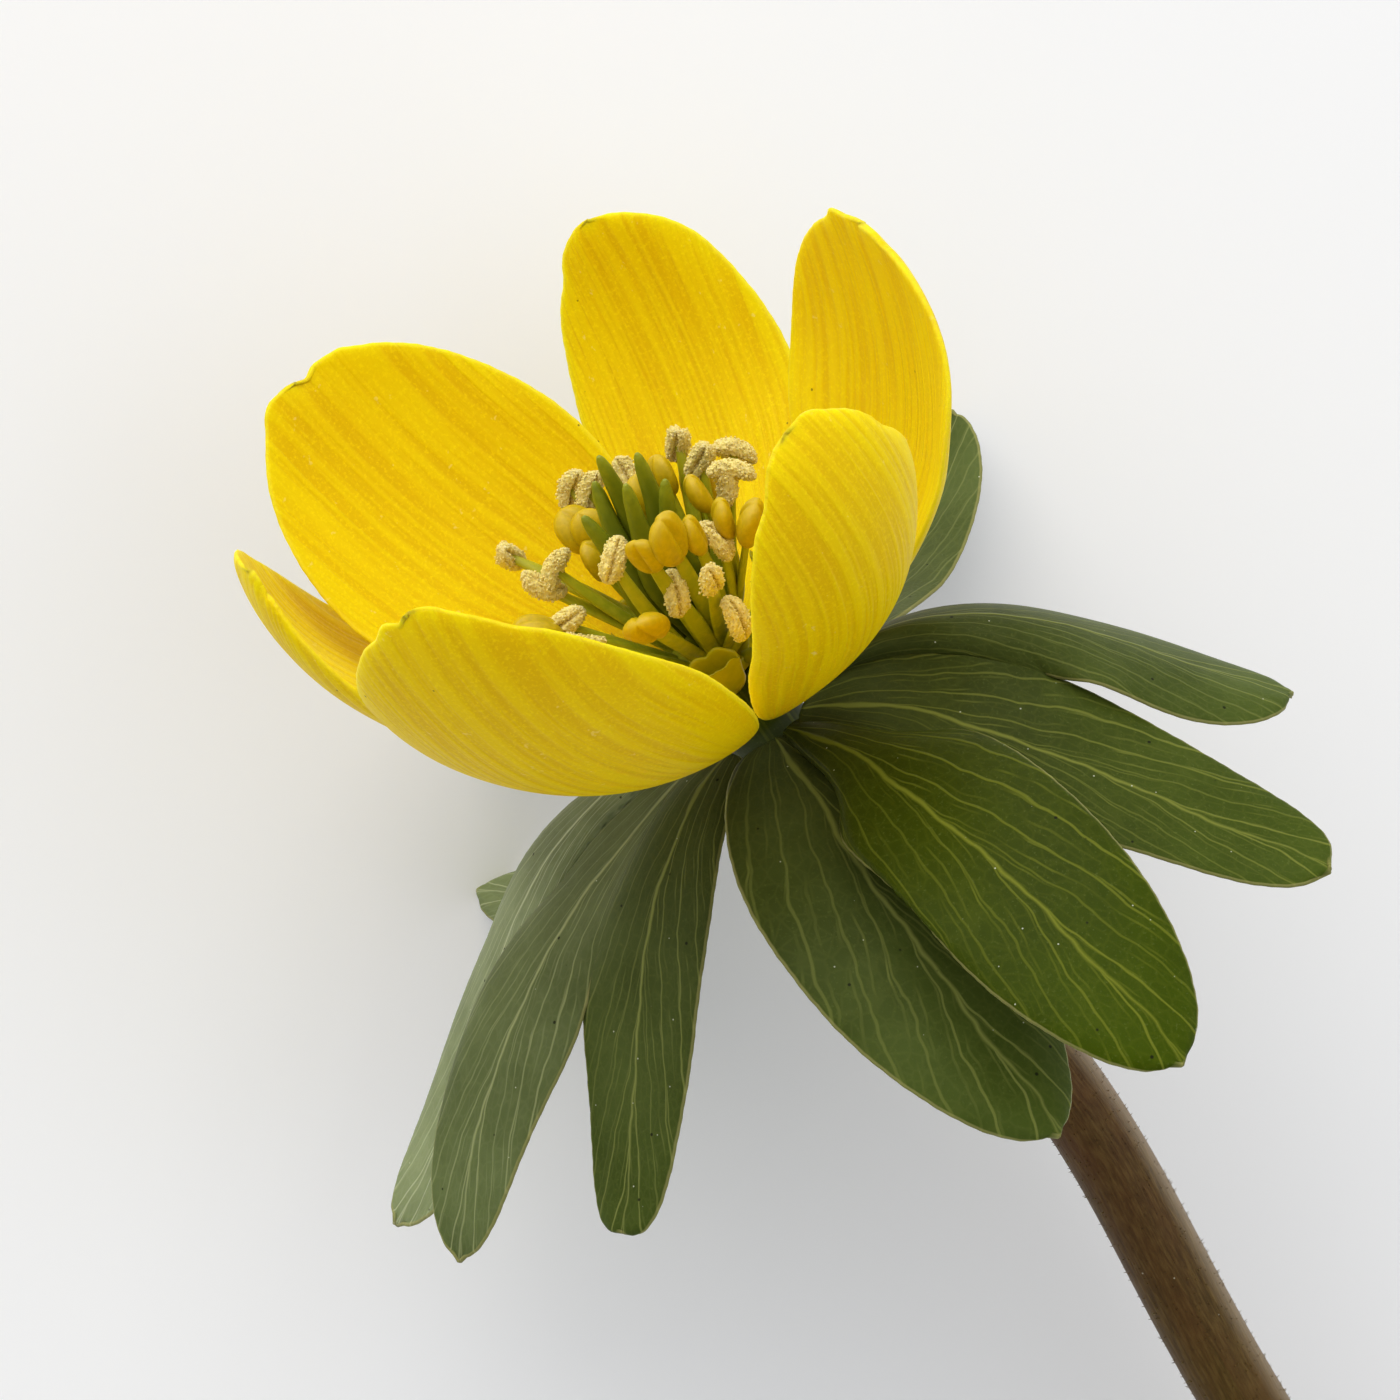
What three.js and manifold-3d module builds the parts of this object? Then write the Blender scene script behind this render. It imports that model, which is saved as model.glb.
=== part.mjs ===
// Winter aconite, a single cut flower lying on a surface: round stem, a ruff of three lobed
// bracts, six cupped sepals, and a heart of nectaries, stamens and carpels. Millimetres.
// Everything is shaped upright in the bloom's own frame, with the bloom's axis up and the
// place where the sepals sit as its origin, and the whole flower is then laid down.
import * as THREE from 'three';
import Module from 'manifold-3d';

const wasm = await Module();
wasm.setup();

// Sizes that drive the flower
const BLADE = 0.6;          // thickness of sepals and bracts
const CLAW = 0.65;          // half width of a blade where it sits on the receptacle
const NECK = 0.6;           // how much a sepal narrows towards its claw
const ROWS = 14;            // steps along a blade
const SEPAL_COLUMNS = 9;
const LOBE_COLUMNS = 5;
const RUFF = { ring: 1.9, rise: -1.3 };   // where every bract lobe springs from

// The laid down flower: how its own axes lie on the surface
const REST = { x: -26.835, y: 2.458, z: 18.288, turn: [6.14, -65.73, 89.1] };

// A blade is told by the angle round the axis at which it stands and how far it veers to
// its tip, its length and half width, how far it leans from the axis at its base, middle
// and tip, its roll and twist, how it hugs the axis across its width at base and tip, where
// it is widest, how round its tip is, how lopsided it is, where it springs from, and how
// much each side is trimmed low down, left and right.
const SEPALS = {
  sepal_1: {
    at: 124, veer: 1, length: 18.9, half: 6.3, lean: [62, 34, 6], roll: [-2.5, -6],
    hug: [0.13, 0.07], crest: 1, round: 0.5, skew: 0, ring: 1.9, rise: 0.35, trim: [0.3, 0.75],
  },
  sepal_2: {
    at: 72, veer: -6, length: 19.9, half: 4.3, lean: [106, 52, 5], roll: [4.5, 0],
    hug: [0.12, 0.02], crest: 1.15, round: 0.53, skew: -0.14, ring: 1.65, rise: 0.9, trim: [0.25, 0.45],
  },
  sepal_3: {
    at: 4, veer: 17.5, length: 17.7, half: 7.2, lean: [97, 41, 6], roll: [-3.5, -9.5],
    hug: [0.13, 0.03], crest: 1.5, round: 0.52, skew: 0.02, ring: 1.9, rise: 0.35, trim: [0.15, 0.2],
  },
  sepal_4: {
    at: -60, veer: -6.5, length: 19.8, half: 4.95, lean: [58.5, 44, -30], roll: [-3.5, 2],
    hug: [0.17, 0.19], crest: 1.2, round: 0.52, skew: 0, ring: 2.15, rise: -0.15, trim: [0.1, 0], neck: 0.3,
  },
  sepal_5: {
    at: -125.5, veer: 2.3, length: 22, half: 6.25, lean: [69.5, 35.5, -11], roll: [3.5, -9.5],
    hug: [0.13, 0.1], crest: 1.25, round: 0.62, skew: 0, ring: 2, rise: 0.1, trim: [0, 0.1],
    neck: 0.4,
  },
  sepal_6: {
    at: 175, veer: -8.5, length: 19.3, half: 5.3, lean: [73.5, 40, -21], roll: [9.5, 10.5],
    hug: [0.02, 0.11], crest: 1.05, round: 0.5, skew: -0.23, ring: 1.65, rise: 0.9, trim: [0.85, 0.3],
  },
};

// Each bract is a leaf cut into lobes, told like the sepals, with the share of its length
// up to which neighbouring lobes stay joined.
const BRACTS = {
  bract_1: {
    joined: [0.2, 0.2, 0.46],
    lobes: [
      {
        at: -92, veer: 5, length: 19.3, half: 4.15, lean: [82, 120.5, 133], roll: [-18, -6],
        hug: [0, -0.04], crest: 0.8, round: 0.5, skew: -0.06, trim: [0.3, 0],
      },
      {
        at: -73.5, veer: -10, length: 22.3, half: 3.7, lean: [75, 108, 134], roll: [1.5, -14],
        hug: [-0.07, -0.03], crest: 1.1, round: 0.48, skew: 0.03,
      },
      {
        at: -44, veer: -10, length: 20, half: 3.1, lean: [86, 125.5, 112.5], roll: [4.5, -15.5],
        hug: [-0.08, -0.04], crest: 0.7, round: 0.37, skew: 0.1,
      },
      {
        at: -17.5, veer: 1, length: 19.2, half: 3.1, lean: [52, 134, 131], roll: [-17, 7],
        hug: [-0.2, -0.12], crest: 2, round: 0.5, skew: 0,
      },
    ],
  },
  bract_2: {
    joined: [0.3, 0.46],
    lobes: [
      {
        at: -197.5, veer: 22, length: 24, half: 2.7, lean: [76, 131, 112], roll: [-7.5, 3.5],
        hug: [-0.12, -0.04], crest: 1.5, round: 0.46, skew: -0.04, trim: [0.7, 0],
      },
      {
        at: -177.5, veer: 24, length: 21, half: 2.9, lean: [97, 114, 135], roll: [-3.5, 1],
        hug: [-0.08, -0.02], crest: 1.1, round: 0.48, skew: -0.02,
      },
      {
        at: -149.5, veer: 7, length: 18, half: 2.6, lean: [80.5, 127, 118], roll: [-7.5, 2],
        hug: [-0.01, -0.02], crest: 0.65, round: 0.36, skew: -0.03, trim: [0, 0.4],
      },
    ],
  },
  bract_3: {
    joined: [0.3, 0.3, 0.3],
    lobes: [
      {
        at: 66, veer: -26, length: 22, half: 2.95, lean: [121, 110, 66], roll: [1.5, -9],
        hug: [-0.06, -0.03], crest: 1.35, round: 0.47, skew: 0,
      },
      {
        at: 90, veer: -4, length: 16, half: 2.5, lean: [96, 92, 82], roll: [0, 0],
        hug: [-0.06, -0.03], crest: 1.3, round: 0.47, skew: 0,
      },
      {
        at: 112, veer: 2, length: 16, half: 2.3, lean: [98, 95, 88], roll: [0, 0],
        hug: [-0.06, -0.03], crest: 1.3, round: 0.47, skew: 0,
      },
      {
        at: 134, veer: -4, length: 19.4, half: 2.2, lean: [106, 128, 80], roll: [0, 0],
        hug: [-0.08, -0.03], crest: 1.3, round: 0.47, skew: 0, trim: [0, 0.7],
      },
    ],
  },
};

// Stem: the line of its middle, from the receptacle's top down to the cut, and its radius
const STEM_SIDES = 20;
const STEM_STEPS = 22;
const COLUMN = [[1.2, 1.3], [0.45, 1.3], [0.35, 1.55], [-2, 1.55]];   // height and radius
const STEM_LINE = [
  [0, 0, -2], [0.3, -0.6, -8], [1.45, -1.6, -22.7], [0.3, -5.2, -35.6], [-1.55, -14.4, -72.1],
];
const STEM_RADIUS = { top: 1.45, foot: 1.7 };

// Heart of the bloom: three low discs stacked over the receptacle, each carrying its ring
// A nectary's middle line is told by distance from the axis and height, its stations by share
// of the way and half widths, of which the last two turn back down inside its mouth.
const NECTARY = {
  count: 7, from: -98, disc: [1.5, 1.95, 1.35],
  line: [[0.9, 1.72], [2.1, 1.95], [3, 2.65], [3.4, 3.9]],
  stations: [
    [0, 0.28, 0.2], [0.25, 0.4, 0.26], [0.6, 0.8, 0.4], [1, 1.05, 0.5], [0.98, 0.85, 0.3], [0.7, 0.3, 0.14],
  ],
};
const STAMEN_DISC = [2.4, 2.9, 1.5];
const CARPEL_DISC = [3.2, 3.7, 1];
const FILAMENT = { wide: 0.3, flat: 0.17 };   // half widths of a stamen's strap of a stalk
const ANTHER_OPEN = { wide: 0.45, flat: 0.4, length: 1.7 };
const ANTHER_CLOSED = { wide: 0.8, flat: 0.45, length: 1.9 };
// Stamens that stand out: angle round the axis, lean and reach from the middle of their
// disc, and for an open one the angle and lean of its anther, which lies askew on its stalk
const STAMENS_OPEN = [
  [135, 48, 7.8, -111, 33], [150, 34, 6.2, 5, 54], [180, 43, 5.6, -21, 77], [-90, 34, 5, 34, 28],
  [-72, 58, 4.8, 45, 17], [-42, 34, 5.5, 112, 24], [5, 39, 6.6, 160, 54], [28, 50, 6.9, 158, 44],
  [45, 39, 7.2, -49, 38], [28, 37, 6.6, -34, 51], [100, 42, 7.5, -17, 41], [95, 39, 6.9, -3, 44],
  [-120, 20, 6.6, 9, 49],
];
const STAMENS_CLOSED = [
  [-75, 27, 7.2], [-92, 26, 7.1], [-57, 28.5, 6.3], [-32, 34, 5.95], [-5, 26, 6], [111, 33, 5.7],
  [123, 35, 4.9], [68, 33, 5.7], [55, 35, 6.1],
];
const STAMENS_MORE = 10;    // the rest of the ring, spread by rule
const SEED = 7;
// Carpels: angle round the axis of the pod, then angle, distance and height of its beak's tip
const CARPELS = [
  [-100, -55, 1.27, 10.5], [-40, -22, 2.1, 9.6], [20, 8, 1.7, 10.5], [80, 53, 0.9, 11], [140, 94, 1.18, 10],
  [200, 180, 1.1, 9.8],
];
const POD = [[0.6, 3.4], [1, 5.2], [1, 7]];   // the pod's middle line, distance from the axis and height
const POD_STATIONS = [
  [0, 0.35], [0.2, 0.52, 0.56], [0.42, 0.6, 0.66], [0.6, 0.45, 0.5], [0.75, 0.34], [0.92, 0.28], [1, 0.16],
];

const YELLOW = new THREE.MeshStandardMaterial({ color: 0xe4c400, roughness: 0.55, metalness: 0, side: 2 });
const GREEN = new THREE.MeshStandardMaterial({ color: 0x4c5f1e, roughness: 0.6, metalness: 0, side: 2 });
const STALK = new THREE.MeshStandardMaterial({ color: 0x6b5a41, roughness: 0.6, metalness: 0 });
const GOLD = new THREE.MeshStandardMaterial({ color: 0xb99a10, roughness: 0.5, metalness: 0 });
const CREAM = new THREE.MeshStandardMaterial({ color: 0xd8c56a, roughness: 0.7, metalness: 0 });
const LEAF = new THREE.MeshStandardMaterial({ color: 0x6f7f22, roughness: 0.5, metalness: 0 });

const rad = THREE.MathUtils.degToRad;

function seeded(seed) {
  // Numbers from 0 to 1 that repeat for the same seed
  let state = seed;
  return () => {
    state = (state * 16807) % 2147483647;
    return state / 2147483647;
  };
}

function bend(lean, t) {
  // The curve through the three leans at the base, the middle and the tip, in radians
  const [base, middle, tip] = lean.map(rad);
  return base * (1 - t) * (1 - 2 * t) + middle * 4 * t * (1 - t) + tip * t * (2 * t - 1);
}

function midrib(blade, steps) {
  // The blade's middle line, walked from its claw to its tip in even steps
  const at = rad(blade.at);
  const points = [new THREE.Vector3(blade.ring * Math.cos(at), blade.ring * Math.sin(at), blade.rise)];
  for (let i = 0; i < steps; i += 1) {
    const t = (i + 0.5) / steps;
    const lean = bend(blade.lean, t);
    const turn = at + rad(blade.veer) * t;
    const step = new THREE.Vector3(
      Math.sin(lean) * Math.cos(turn), Math.sin(lean) * Math.sin(turn), Math.cos(lean));
    points.push(points[i].clone().addScaledVector(step, blade.length / steps));
  }
  return points;
}

function bladeGrid(blade, columns, neck) {
  // Rows of points over the blade: each row is an arc across it, as wide as the outline there
  const line = midrib(blade, 63);
  const rows = [];
  for (let i = 0; i < ROWS; i += 1) {
    const t = 1 - (1 - i / (ROWS - 1)) ** 1.3;
    const place = Math.min(t * 63, 62.999);
    const low = Math.floor(place);
    const middle = line[low].clone().lerp(line[low + 1], place - low);
    const lean = bend(blade.lean, t);
    const turn = rad(blade.at) + rad(blade.veer) * t;
    const across = new THREE.Vector3(-Math.sin(turn), Math.cos(turn), 0);
    const inward = new THREE.Vector3(
      -Math.cos(lean) * Math.cos(turn), -Math.cos(lean) * Math.sin(turn), Math.sin(lean));
    const roll = rad(blade.roll[0] + blade.roll[1] * t);
    const side = across.clone().multiplyScalar(Math.cos(roll)).addScaledVector(inward, Math.sin(roll));
    const up = inward.clone().multiplyScalar(Math.cos(roll)).addScaledVector(across, -Math.sin(roll));
    const q = t ** blade.crest;
    const full = blade.half * (4 * q * (1 - q)) ** blade.round * (1 - neck * Math.exp(-t / 0.13));
    const half = Math.max(full, CLAW * Math.sqrt(1 - t));
    const hug = blade.hug[0] + (blade.hug[1] - blade.hug[0]) * t;
    const curve = Math.abs(hug) < 1e-4 ? 1e-4 : hug;
    const row = [];
    for (let j = 0; j < columns; j += 1) {
      const s = -1 + 2 * j / (columns - 1);
      const trim = 1 - blade.trim[s < 0 ? 0 : 1] * Math.exp(-((t / 0.28) ** 2));
      const x = s * (1 + blade.skew * s) * half * trim;
      row.push(middle.clone()
        .addScaledVector(side, Math.sin(curve * x) / curve)
        .addScaledVector(up, (1 - Math.cos(curve * x)) / curve));
    }
    rows.push(row);
  }
  return rows;
}

function joinLobes(grids, joined) {
  // Draws the facing edges of neighbouring lobes to one seam up to where they part
  const last = LOBE_COLUMNS - 1;
  const moved = grids.map((rows) => rows.map((row) => row.map((point) => point.clone())));
  joined.forEach((share, i) => {
    const times = grids[i].map((row, k) => 1 - (1 - k / (ROWS - 1)) ** 1.3);
    let notch = 0;
    times.forEach((t, k) => {
      if (Math.abs(t - share) < Math.abs(times[notch] - share)) notch = k;
    });
    times.forEach((t, k) => {
      const left = grids[i][k][last];
      const right = grids[i + 1][k][0];
      const seam = left.clone().lerp(right, 0.5);
      const pull = k <= notch ? 1 : 0.8 * Math.exp(-(((t - times[notch]) / 0.05) ** 2));
      const toLeft = seam.clone().sub(left).multiplyScalar(pull);
      const toRight = seam.clone().sub(right).multiplyScalar(pull);
      for (let j = 0; j <= last; j += 1) {
        const s = -1 + 2 * j / last;
        if (s > 0) moved[i][k][j].addScaledVector(toLeft, s * s);
        if (s < 0) moved[i + 1][k][j].addScaledVector(toRight, s * s);
      }
    });
  });
  return moved;
}

class Sheet {
  // A thin surface of welded points, thickened to both sides into one closed body
  constructor() {
    this.points = [];
    this.known = new Map();
    this.faces = [];
  }

  point(p) {
    const key = p.toArray().map((value) => Math.round(value * 1e4)).join(',');
    if (!this.known.has(key)) {
      this.known.set(key, this.points.length);
      this.points.push(p.clone());
    }
    return this.known.get(key);
  }

  face(a, b, c) {
    if (a !== b && b !== c && c !== a) this.faces.push([a, b, c]);
  }

  grid(rows) {
    const ids = rows.map((row) => row.map((p) => this.point(p)));
    for (let i = 0; i < ids.length - 1; i += 1) {
      for (let j = 0; j < ids[i].length - 1; j += 1) {
        this.face(ids[i][j], ids[i][j + 1], ids[i + 1][j + 1]);
        this.face(ids[i][j], ids[i + 1][j + 1], ids[i + 1][j]);
      }
    }
  }

  thicken(thickness) {
    const normals = this.points.map(() => new THREE.Vector3());
    this.faces.forEach(([a, b, c]) => {
      const ab = this.points[b].clone().sub(this.points[a]);
      const ac = this.points[c].clone().sub(this.points[a]);
      const normal = ab.cross(ac);
      [a, b, c].forEach((i) => normals[i].add(normal));
    });
    const top = this.points.map((p, i) => p.clone().addScaledVector(normals[i].normalize(), thickness / 2));
    const low = this.points.map((p, i) => p.clone().addScaledVector(normals[i], -thickness / 2));
    const shift = this.points.length;
    const edges = new Set();
    const index = [];
    this.faces.forEach(([a, b, c]) => {
      index.push(a, b, c, a + shift, c + shift, b + shift);
      [[a, b], [b, c], [c, a]].forEach((edge) => edges.add(edge.join(' ')));
    });
    edges.forEach((edge) => {
      const [a, b] = edge.split(' ').map(Number);
      if (!edges.has(`${b} ${a}`)) index.push(b, a, a + shift, b, a + shift, b + shift);
    });
    return surface([...top, ...low], index);
  }
}

function surface(points, index) {
  const geometry = new THREE.BufferGeometry();
  geometry.setAttribute('position', new THREE.Float32BufferAttribute(points.flatMap((p) => p.toArray()), 3));
  geometry.setIndex(index);
  return geometry;
}

function skin(rings) {
  // A closed body through rings of points, with a fan over each end
  const sides = rings[0].length;
  const points = rings.flat();
  const middle = (ring) => ring.reduce((sum, p) => sum.add(p), new THREE.Vector3()).divideScalar(sides);
  points.push(middle(rings[0]), middle(rings[rings.length - 1]));
  const first = sides * rings.length;
  const index = [];
  for (let j = 0; j < sides; j += 1) {
    const k = (j + 1) % sides;
    for (let i = 0; i < rings.length - 1; i += 1) {
      const a = i * sides;
      const b = a + sides;
      index.push(a + j, a + k, b + k, a + j, b + k, b + j);
    }
    index.push(first, k, j, first + 1, first - sides + j, first - sides + k);
  }
  return surface(points, index);
}

function ringAt(centre, along, wide, flat, sides, facing) {
  // One ring round a centre, square to the way along: wide across the facing, flat along it
  const ahead = along.clone().normalize();
  const across = new THREE.Vector3().crossVectors(ahead, facing).normalize();
  const outward = new THREE.Vector3().crossVectors(across, ahead);
  const ring = [];
  for (let j = 0; j < sides; j += 1) {
    const angle = 2 * Math.PI * j / sides;
    ring.push(centre.clone()
      .addScaledVector(across, wide * Math.cos(angle))
      .addScaledVector(outward, -flat * Math.sin(angle)));
  }
  return ring;
}

function tube(curve, stations, sides, facing) {
  // A closed tube along a curve; each station holds how far along, how wide and how flat
  return skin(stations.map(([t, wide, flat]) => ringAt(
    curve.getPoint(t), curve.getTangent(t), wide, flat ?? wide, sides, facing)));
}

function around(angle, radius, height) {
  return new THREE.Vector3(radius * Math.cos(angle), radius * Math.sin(angle), height);
}

function solid(geometry) {
  const mesh = new wasm.Mesh({
    numProp: 3,
    vertProperties: new Float32Array(geometry.attributes.position.array),
    triVerts: new Uint32Array(geometry.index.array),
  });
  return new wasm.Manifold(mesh);
}

function fuse(geometries) {
  // Joins overlapping bodies into one
  const joined = geometries.map(solid).reduce((sum, next) => sum.add(next));
  const { vertProperties, triVerts } = joined.getMesh();
  const geometry = new THREE.BufferGeometry();
  geometry.setAttribute('position', new THREE.Float32BufferAttribute(vertProperties, 3));
  geometry.setIndex(new THREE.Uint32BufferAttribute(triVerts, 1));
  return geometry;
}

function disc([low, high, radius], sides) {
  const up = new THREE.Vector3(0, 0, 1);
  const facing = new THREE.Vector3(1, 0, 0);
  const edge = 0.1;
  const levels = [[low, radius - edge], [low + edge, radius], [high - edge, radius], [high, radius - edge]];
  return skin(levels.map(([height, r]) => ringAt(
    new THREE.Vector3(0, 0, height), up, r, r, sides, facing)));
}

function stem() {
  const facing = new THREE.Vector3(1, 0, 0);
  const up = new THREE.Vector3(0, 0, -1);
  const rings = COLUMN.map(([height, radius]) => ringAt(
    new THREE.Vector3(0, 0, height), up, radius, radius, STEM_SIDES, facing));
  const line = new THREE.CatmullRomCurve3(STEM_LINE.map((p) => new THREE.Vector3(...p)));
  for (let i = 1; i <= STEM_STEPS; i += 1) {
    const t = i / STEM_STEPS;
    const radius = THREE.MathUtils.lerp(STEM_RADIUS.top, STEM_RADIUS.foot, t);
    rings.push(ringAt(line.getPointAt(t), line.getTangentAt(t), radius, radius, STEM_SIDES, facing));
  }
  return skin(rings);
}

function nectaries() {
  // Flattened little trumpets with a hollow mouth, on a low disc
  const bodies = [disc(NECTARY.disc, 20)];
  for (let i = 0; i < NECTARY.count; i += 1) {
    const angle = rad(NECTARY.from + 360 * i / NECTARY.count);
    const line = NECTARY.line.map(([radius, height]) => around(angle, radius, height));
    bodies.push(tube(new THREE.CatmullRomCurve3(line), NECTARY.stations, 10, around(angle, 1, 0)));
  }
  return fuse(bodies);
}

function stamen([at, lean, reach, turn, tilt], anther, foot) {
  // A strap of a stalk that bows out round the carpels, with an anther on its end
  const angle = rad(at);
  const radius = reach * Math.sin(rad(lean));
  const height = foot + reach * Math.cos(rad(lean));
  const path = new THREE.QuadraticBezierCurve3(
    around(angle, 1.15, foot),
    around(angle, Math.max(2.7, radius * 0.5 + 0.3), foot + 0.55 * (height - foot)),
    around(angle, radius, height));
  const facing = around(angle, 1, 0);
  const { wide, flat } = FILAMENT;
  const stations = [[0, wide, flat], [0.35, wide, flat], [0.7, wide, flat], [1, wide * 0.6, flat]];
  const stalk = tube(path, stations, 6, facing);
  const ahead = tilt === undefined
    ? path.getTangent(1)
    : around(rad(turn), Math.sin(rad(tilt)), Math.cos(rad(tilt)));
  ahead.multiplyScalar(anther.length / 2);
  const tip = around(angle, radius, height);
  const line = new THREE.LineCurve3(tip.clone().sub(ahead), tip.clone().add(ahead));
  const sac = tube(line, [
    [0, anther.wide * 0.5, anther.flat * 0.5], [0.22, anther.wide, anther.flat],
    [0.78, anther.wide, anther.flat], [1, anther.wide * 0.5, anther.flat * 0.5]], 8, facing);
  return [stalk, sac];
}

function stamens() {
  const random = seeded(SEED);
  const foot = STAMEN_DISC[1] - 0.3;
  const bodies = [disc(STAMEN_DISC, 20)];
  STAMENS_OPEN.forEach((place) => bodies.push(...stamen(place, ANTHER_OPEN, foot)));
  STAMENS_CLOSED.forEach((place) => bodies.push(...stamen(place, ANTHER_CLOSED, foot)));
  // The rest alternate between open and closed ones
  for (let i = 0; i < STAMENS_MORE; i += 1) {
    const place = [-150 + 360 * (i + 0.4 * random()) / STAMENS_MORE, 36 + 10 * random(), 5.6 + random()];
    bodies.push(...stamen(place, i % 2 === 0 ? ANTHER_OPEN : ANTHER_CLOSED, foot));
  }
  return fuse(bodies);
}

function carpels() {
  // Plump pods that narrow into beaks, on a disc
  const bodies = [disc(CARPEL_DISC, 16)];
  CARPELS.forEach(([at, turn, radius, height]) => {
    const angle = rad(at);
    const tip = around(rad(turn), radius, height);
    const pod = POD.map(([distance, level]) => around(angle, distance, level));
    const neck = pod[2].clone().lerp(tip, 0.4);
    const path = new THREE.CatmullRomCurve3([...pod, neck, tip]);
    bodies.push(tube(path, POD_STATIONS, 8, around(angle, 1, 0)));
  });
  return fuse(bodies);
}

const flower = new THREE.Group();

function add(name, geometry, material) {
  const mesh = new THREE.Mesh(geometry, material.clone());
  mesh.name = name;
  flower.add(mesh);
}

add('stem', stem(), STALK);
Object.entries(BRACTS).forEach(([name, bract]) => {
  const sheet = new Sheet();
  const grids = bract.lobes.map((lobe) => bladeGrid({ trim: [0, 0], ...lobe, ...RUFF }, LOBE_COLUMNS, 0));
  joinLobes(grids, bract.joined).forEach((rows) => sheet.grid(rows));
  add(name, sheet.thicken(BLADE), GREEN);
});
Object.entries(SEPALS).forEach(([name, sepal]) => {
  const sheet = new Sheet();
  sheet.grid(bladeGrid(sepal, SEPAL_COLUMNS, sepal.neck ?? NECK));
  add(name, sheet.thicken(BLADE), YELLOW);
});
add('nectaries', nectaries(), GOLD);
add('stamens', stamens(), CREAM);
add('carpels', carpels(), LEAF);

const part = new THREE.Group();
flower.rotation.set(...REST.turn.map(rad));
flower.position.set(REST.x, REST.y, REST.z);
part.add(flower);

export default part;
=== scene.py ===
# Winter aconite, one cut flower laid on a pale surface
import bpy
import numpy as np
from mathutils import Matrix


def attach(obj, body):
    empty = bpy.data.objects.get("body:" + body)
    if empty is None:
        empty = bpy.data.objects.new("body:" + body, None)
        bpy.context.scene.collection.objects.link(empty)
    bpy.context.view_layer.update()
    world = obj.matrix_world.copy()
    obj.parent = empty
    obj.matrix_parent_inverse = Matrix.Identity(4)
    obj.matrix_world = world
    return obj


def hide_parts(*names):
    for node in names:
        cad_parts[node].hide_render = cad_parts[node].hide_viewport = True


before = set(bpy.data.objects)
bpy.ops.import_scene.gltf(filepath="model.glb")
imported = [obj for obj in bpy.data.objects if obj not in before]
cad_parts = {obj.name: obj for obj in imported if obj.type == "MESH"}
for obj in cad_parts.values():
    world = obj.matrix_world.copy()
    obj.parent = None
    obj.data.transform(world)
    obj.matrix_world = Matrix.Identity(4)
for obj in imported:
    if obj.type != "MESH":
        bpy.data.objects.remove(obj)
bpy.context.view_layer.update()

# ---- how the bloom lies: its own frame is upright, in millimetres, with the sepals at its origin
rest = {"turn": (6.14, -65.73, 89.1), "shift": (-26.835, 2.458, 18.288)}


def turnMatrix(angles):
    # Turns about x, y and z multiplied in that order
    x, y, z = np.radians(angles)
    aboutX = np.array([[1, 0, 0], [0, np.cos(x), -np.sin(x)], [0, np.sin(x), np.cos(x)]])
    aboutY = np.array([[np.cos(y), 0, np.sin(y)], [0, 1, 0], [-np.sin(y), 0, np.cos(y)]])
    aboutZ = np.array([[np.cos(z), -np.sin(z), 0], [np.sin(z), np.cos(z), 0], [0, 0, 1]])
    return aboutX @ aboutY @ aboutZ


bloomTurn = turnMatrix(rest["turn"])


def laid(points):
    # Bloom millimetres to scene metres: turned, shifted and scaled by a thousandth
    return (points @ bloomTurn.T + np.array(rest["shift"])) / 1000


def unit(vectors):
    # Every vector divided by its length
    return vectors / np.maximum(np.linalg.norm(vectors, axis=-1, keepdims=True), 1e-12)


# ---- materials
def linear(hexColour):
    # sRGB hex to linear: the standard curve, with its straight foot
    c = np.array([int(hexColour[i:i + 2], 16) / 255 for i in (1, 3, 5)])
    c = np.where(c <= 0.04045, c / 12.92, ((c + 0.055) / 1.055) ** 2.4)
    return (*c.tolist(), 1.0)


def feed(tree, socket, value):
    # A socket takes a node's first output, any other output, an sRGB hex colour or a plain value
    if isinstance(value, bpy.types.Node):
        value = value.outputs[0]
    if isinstance(value, bpy.types.NodeSocket):
        tree.links.new(value, socket)
    else:
        socket.default_value = linear(value) if isinstance(value, str) else value


def addNode(tree, kind, inputs=None, stops=None, **settings):
    # One node with its settings, its ramp's stops and what its inputs take
    node = tree.nodes.new("ShaderNode" + kind)
    for key, value in settings.items():
        setattr(node, key, value)
    if stops:
        ramp = node.color_ramp
        while len(ramp.elements) < len(stops):
            ramp.elements.new(0.5)
        for element, (place, colour) in zip(ramp.elements, stops):
            element.position = place
            element.color = linear(colour)
    for key, value in (inputs or {}).items():
        feed(tree, node.inputs[key], value)
    return node


def startMaterial(name, **shader):
    # A material with its shader and output, and the shader's fixed values set on its own sockets
    material = bpy.data.materials.new(name)
    material.use_nodes = True
    tree = material.node_tree
    tree.nodes.clear()
    surface = addNode(tree, "BsdfPrincipled", shader)
    addNode(tree, "OutputMaterial", {"Surface": surface})
    return material, tree, surface


def mixColour(tree, factor, a, b, blend="MIX"):
    # Colour a goes to colour b by the factor
    node = addNode(tree, "Mix", data_type="RGBA", blend_type=blend)
    for socket, value in ((0, factor), (6, a), (7, b)):
        feed(tree, node.inputs[socket], value)
    return node.outputs[2]


def bladeCoordinates(tree, across, along):
    # The blade's own map stretched: how many pattern cells across it and along it
    uv = addNode(tree, "UVMap", uv_map="blade")
    return addNode(tree, "Mapping", {"Vector": uv, "Scale": (across, along, 1)})


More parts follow.
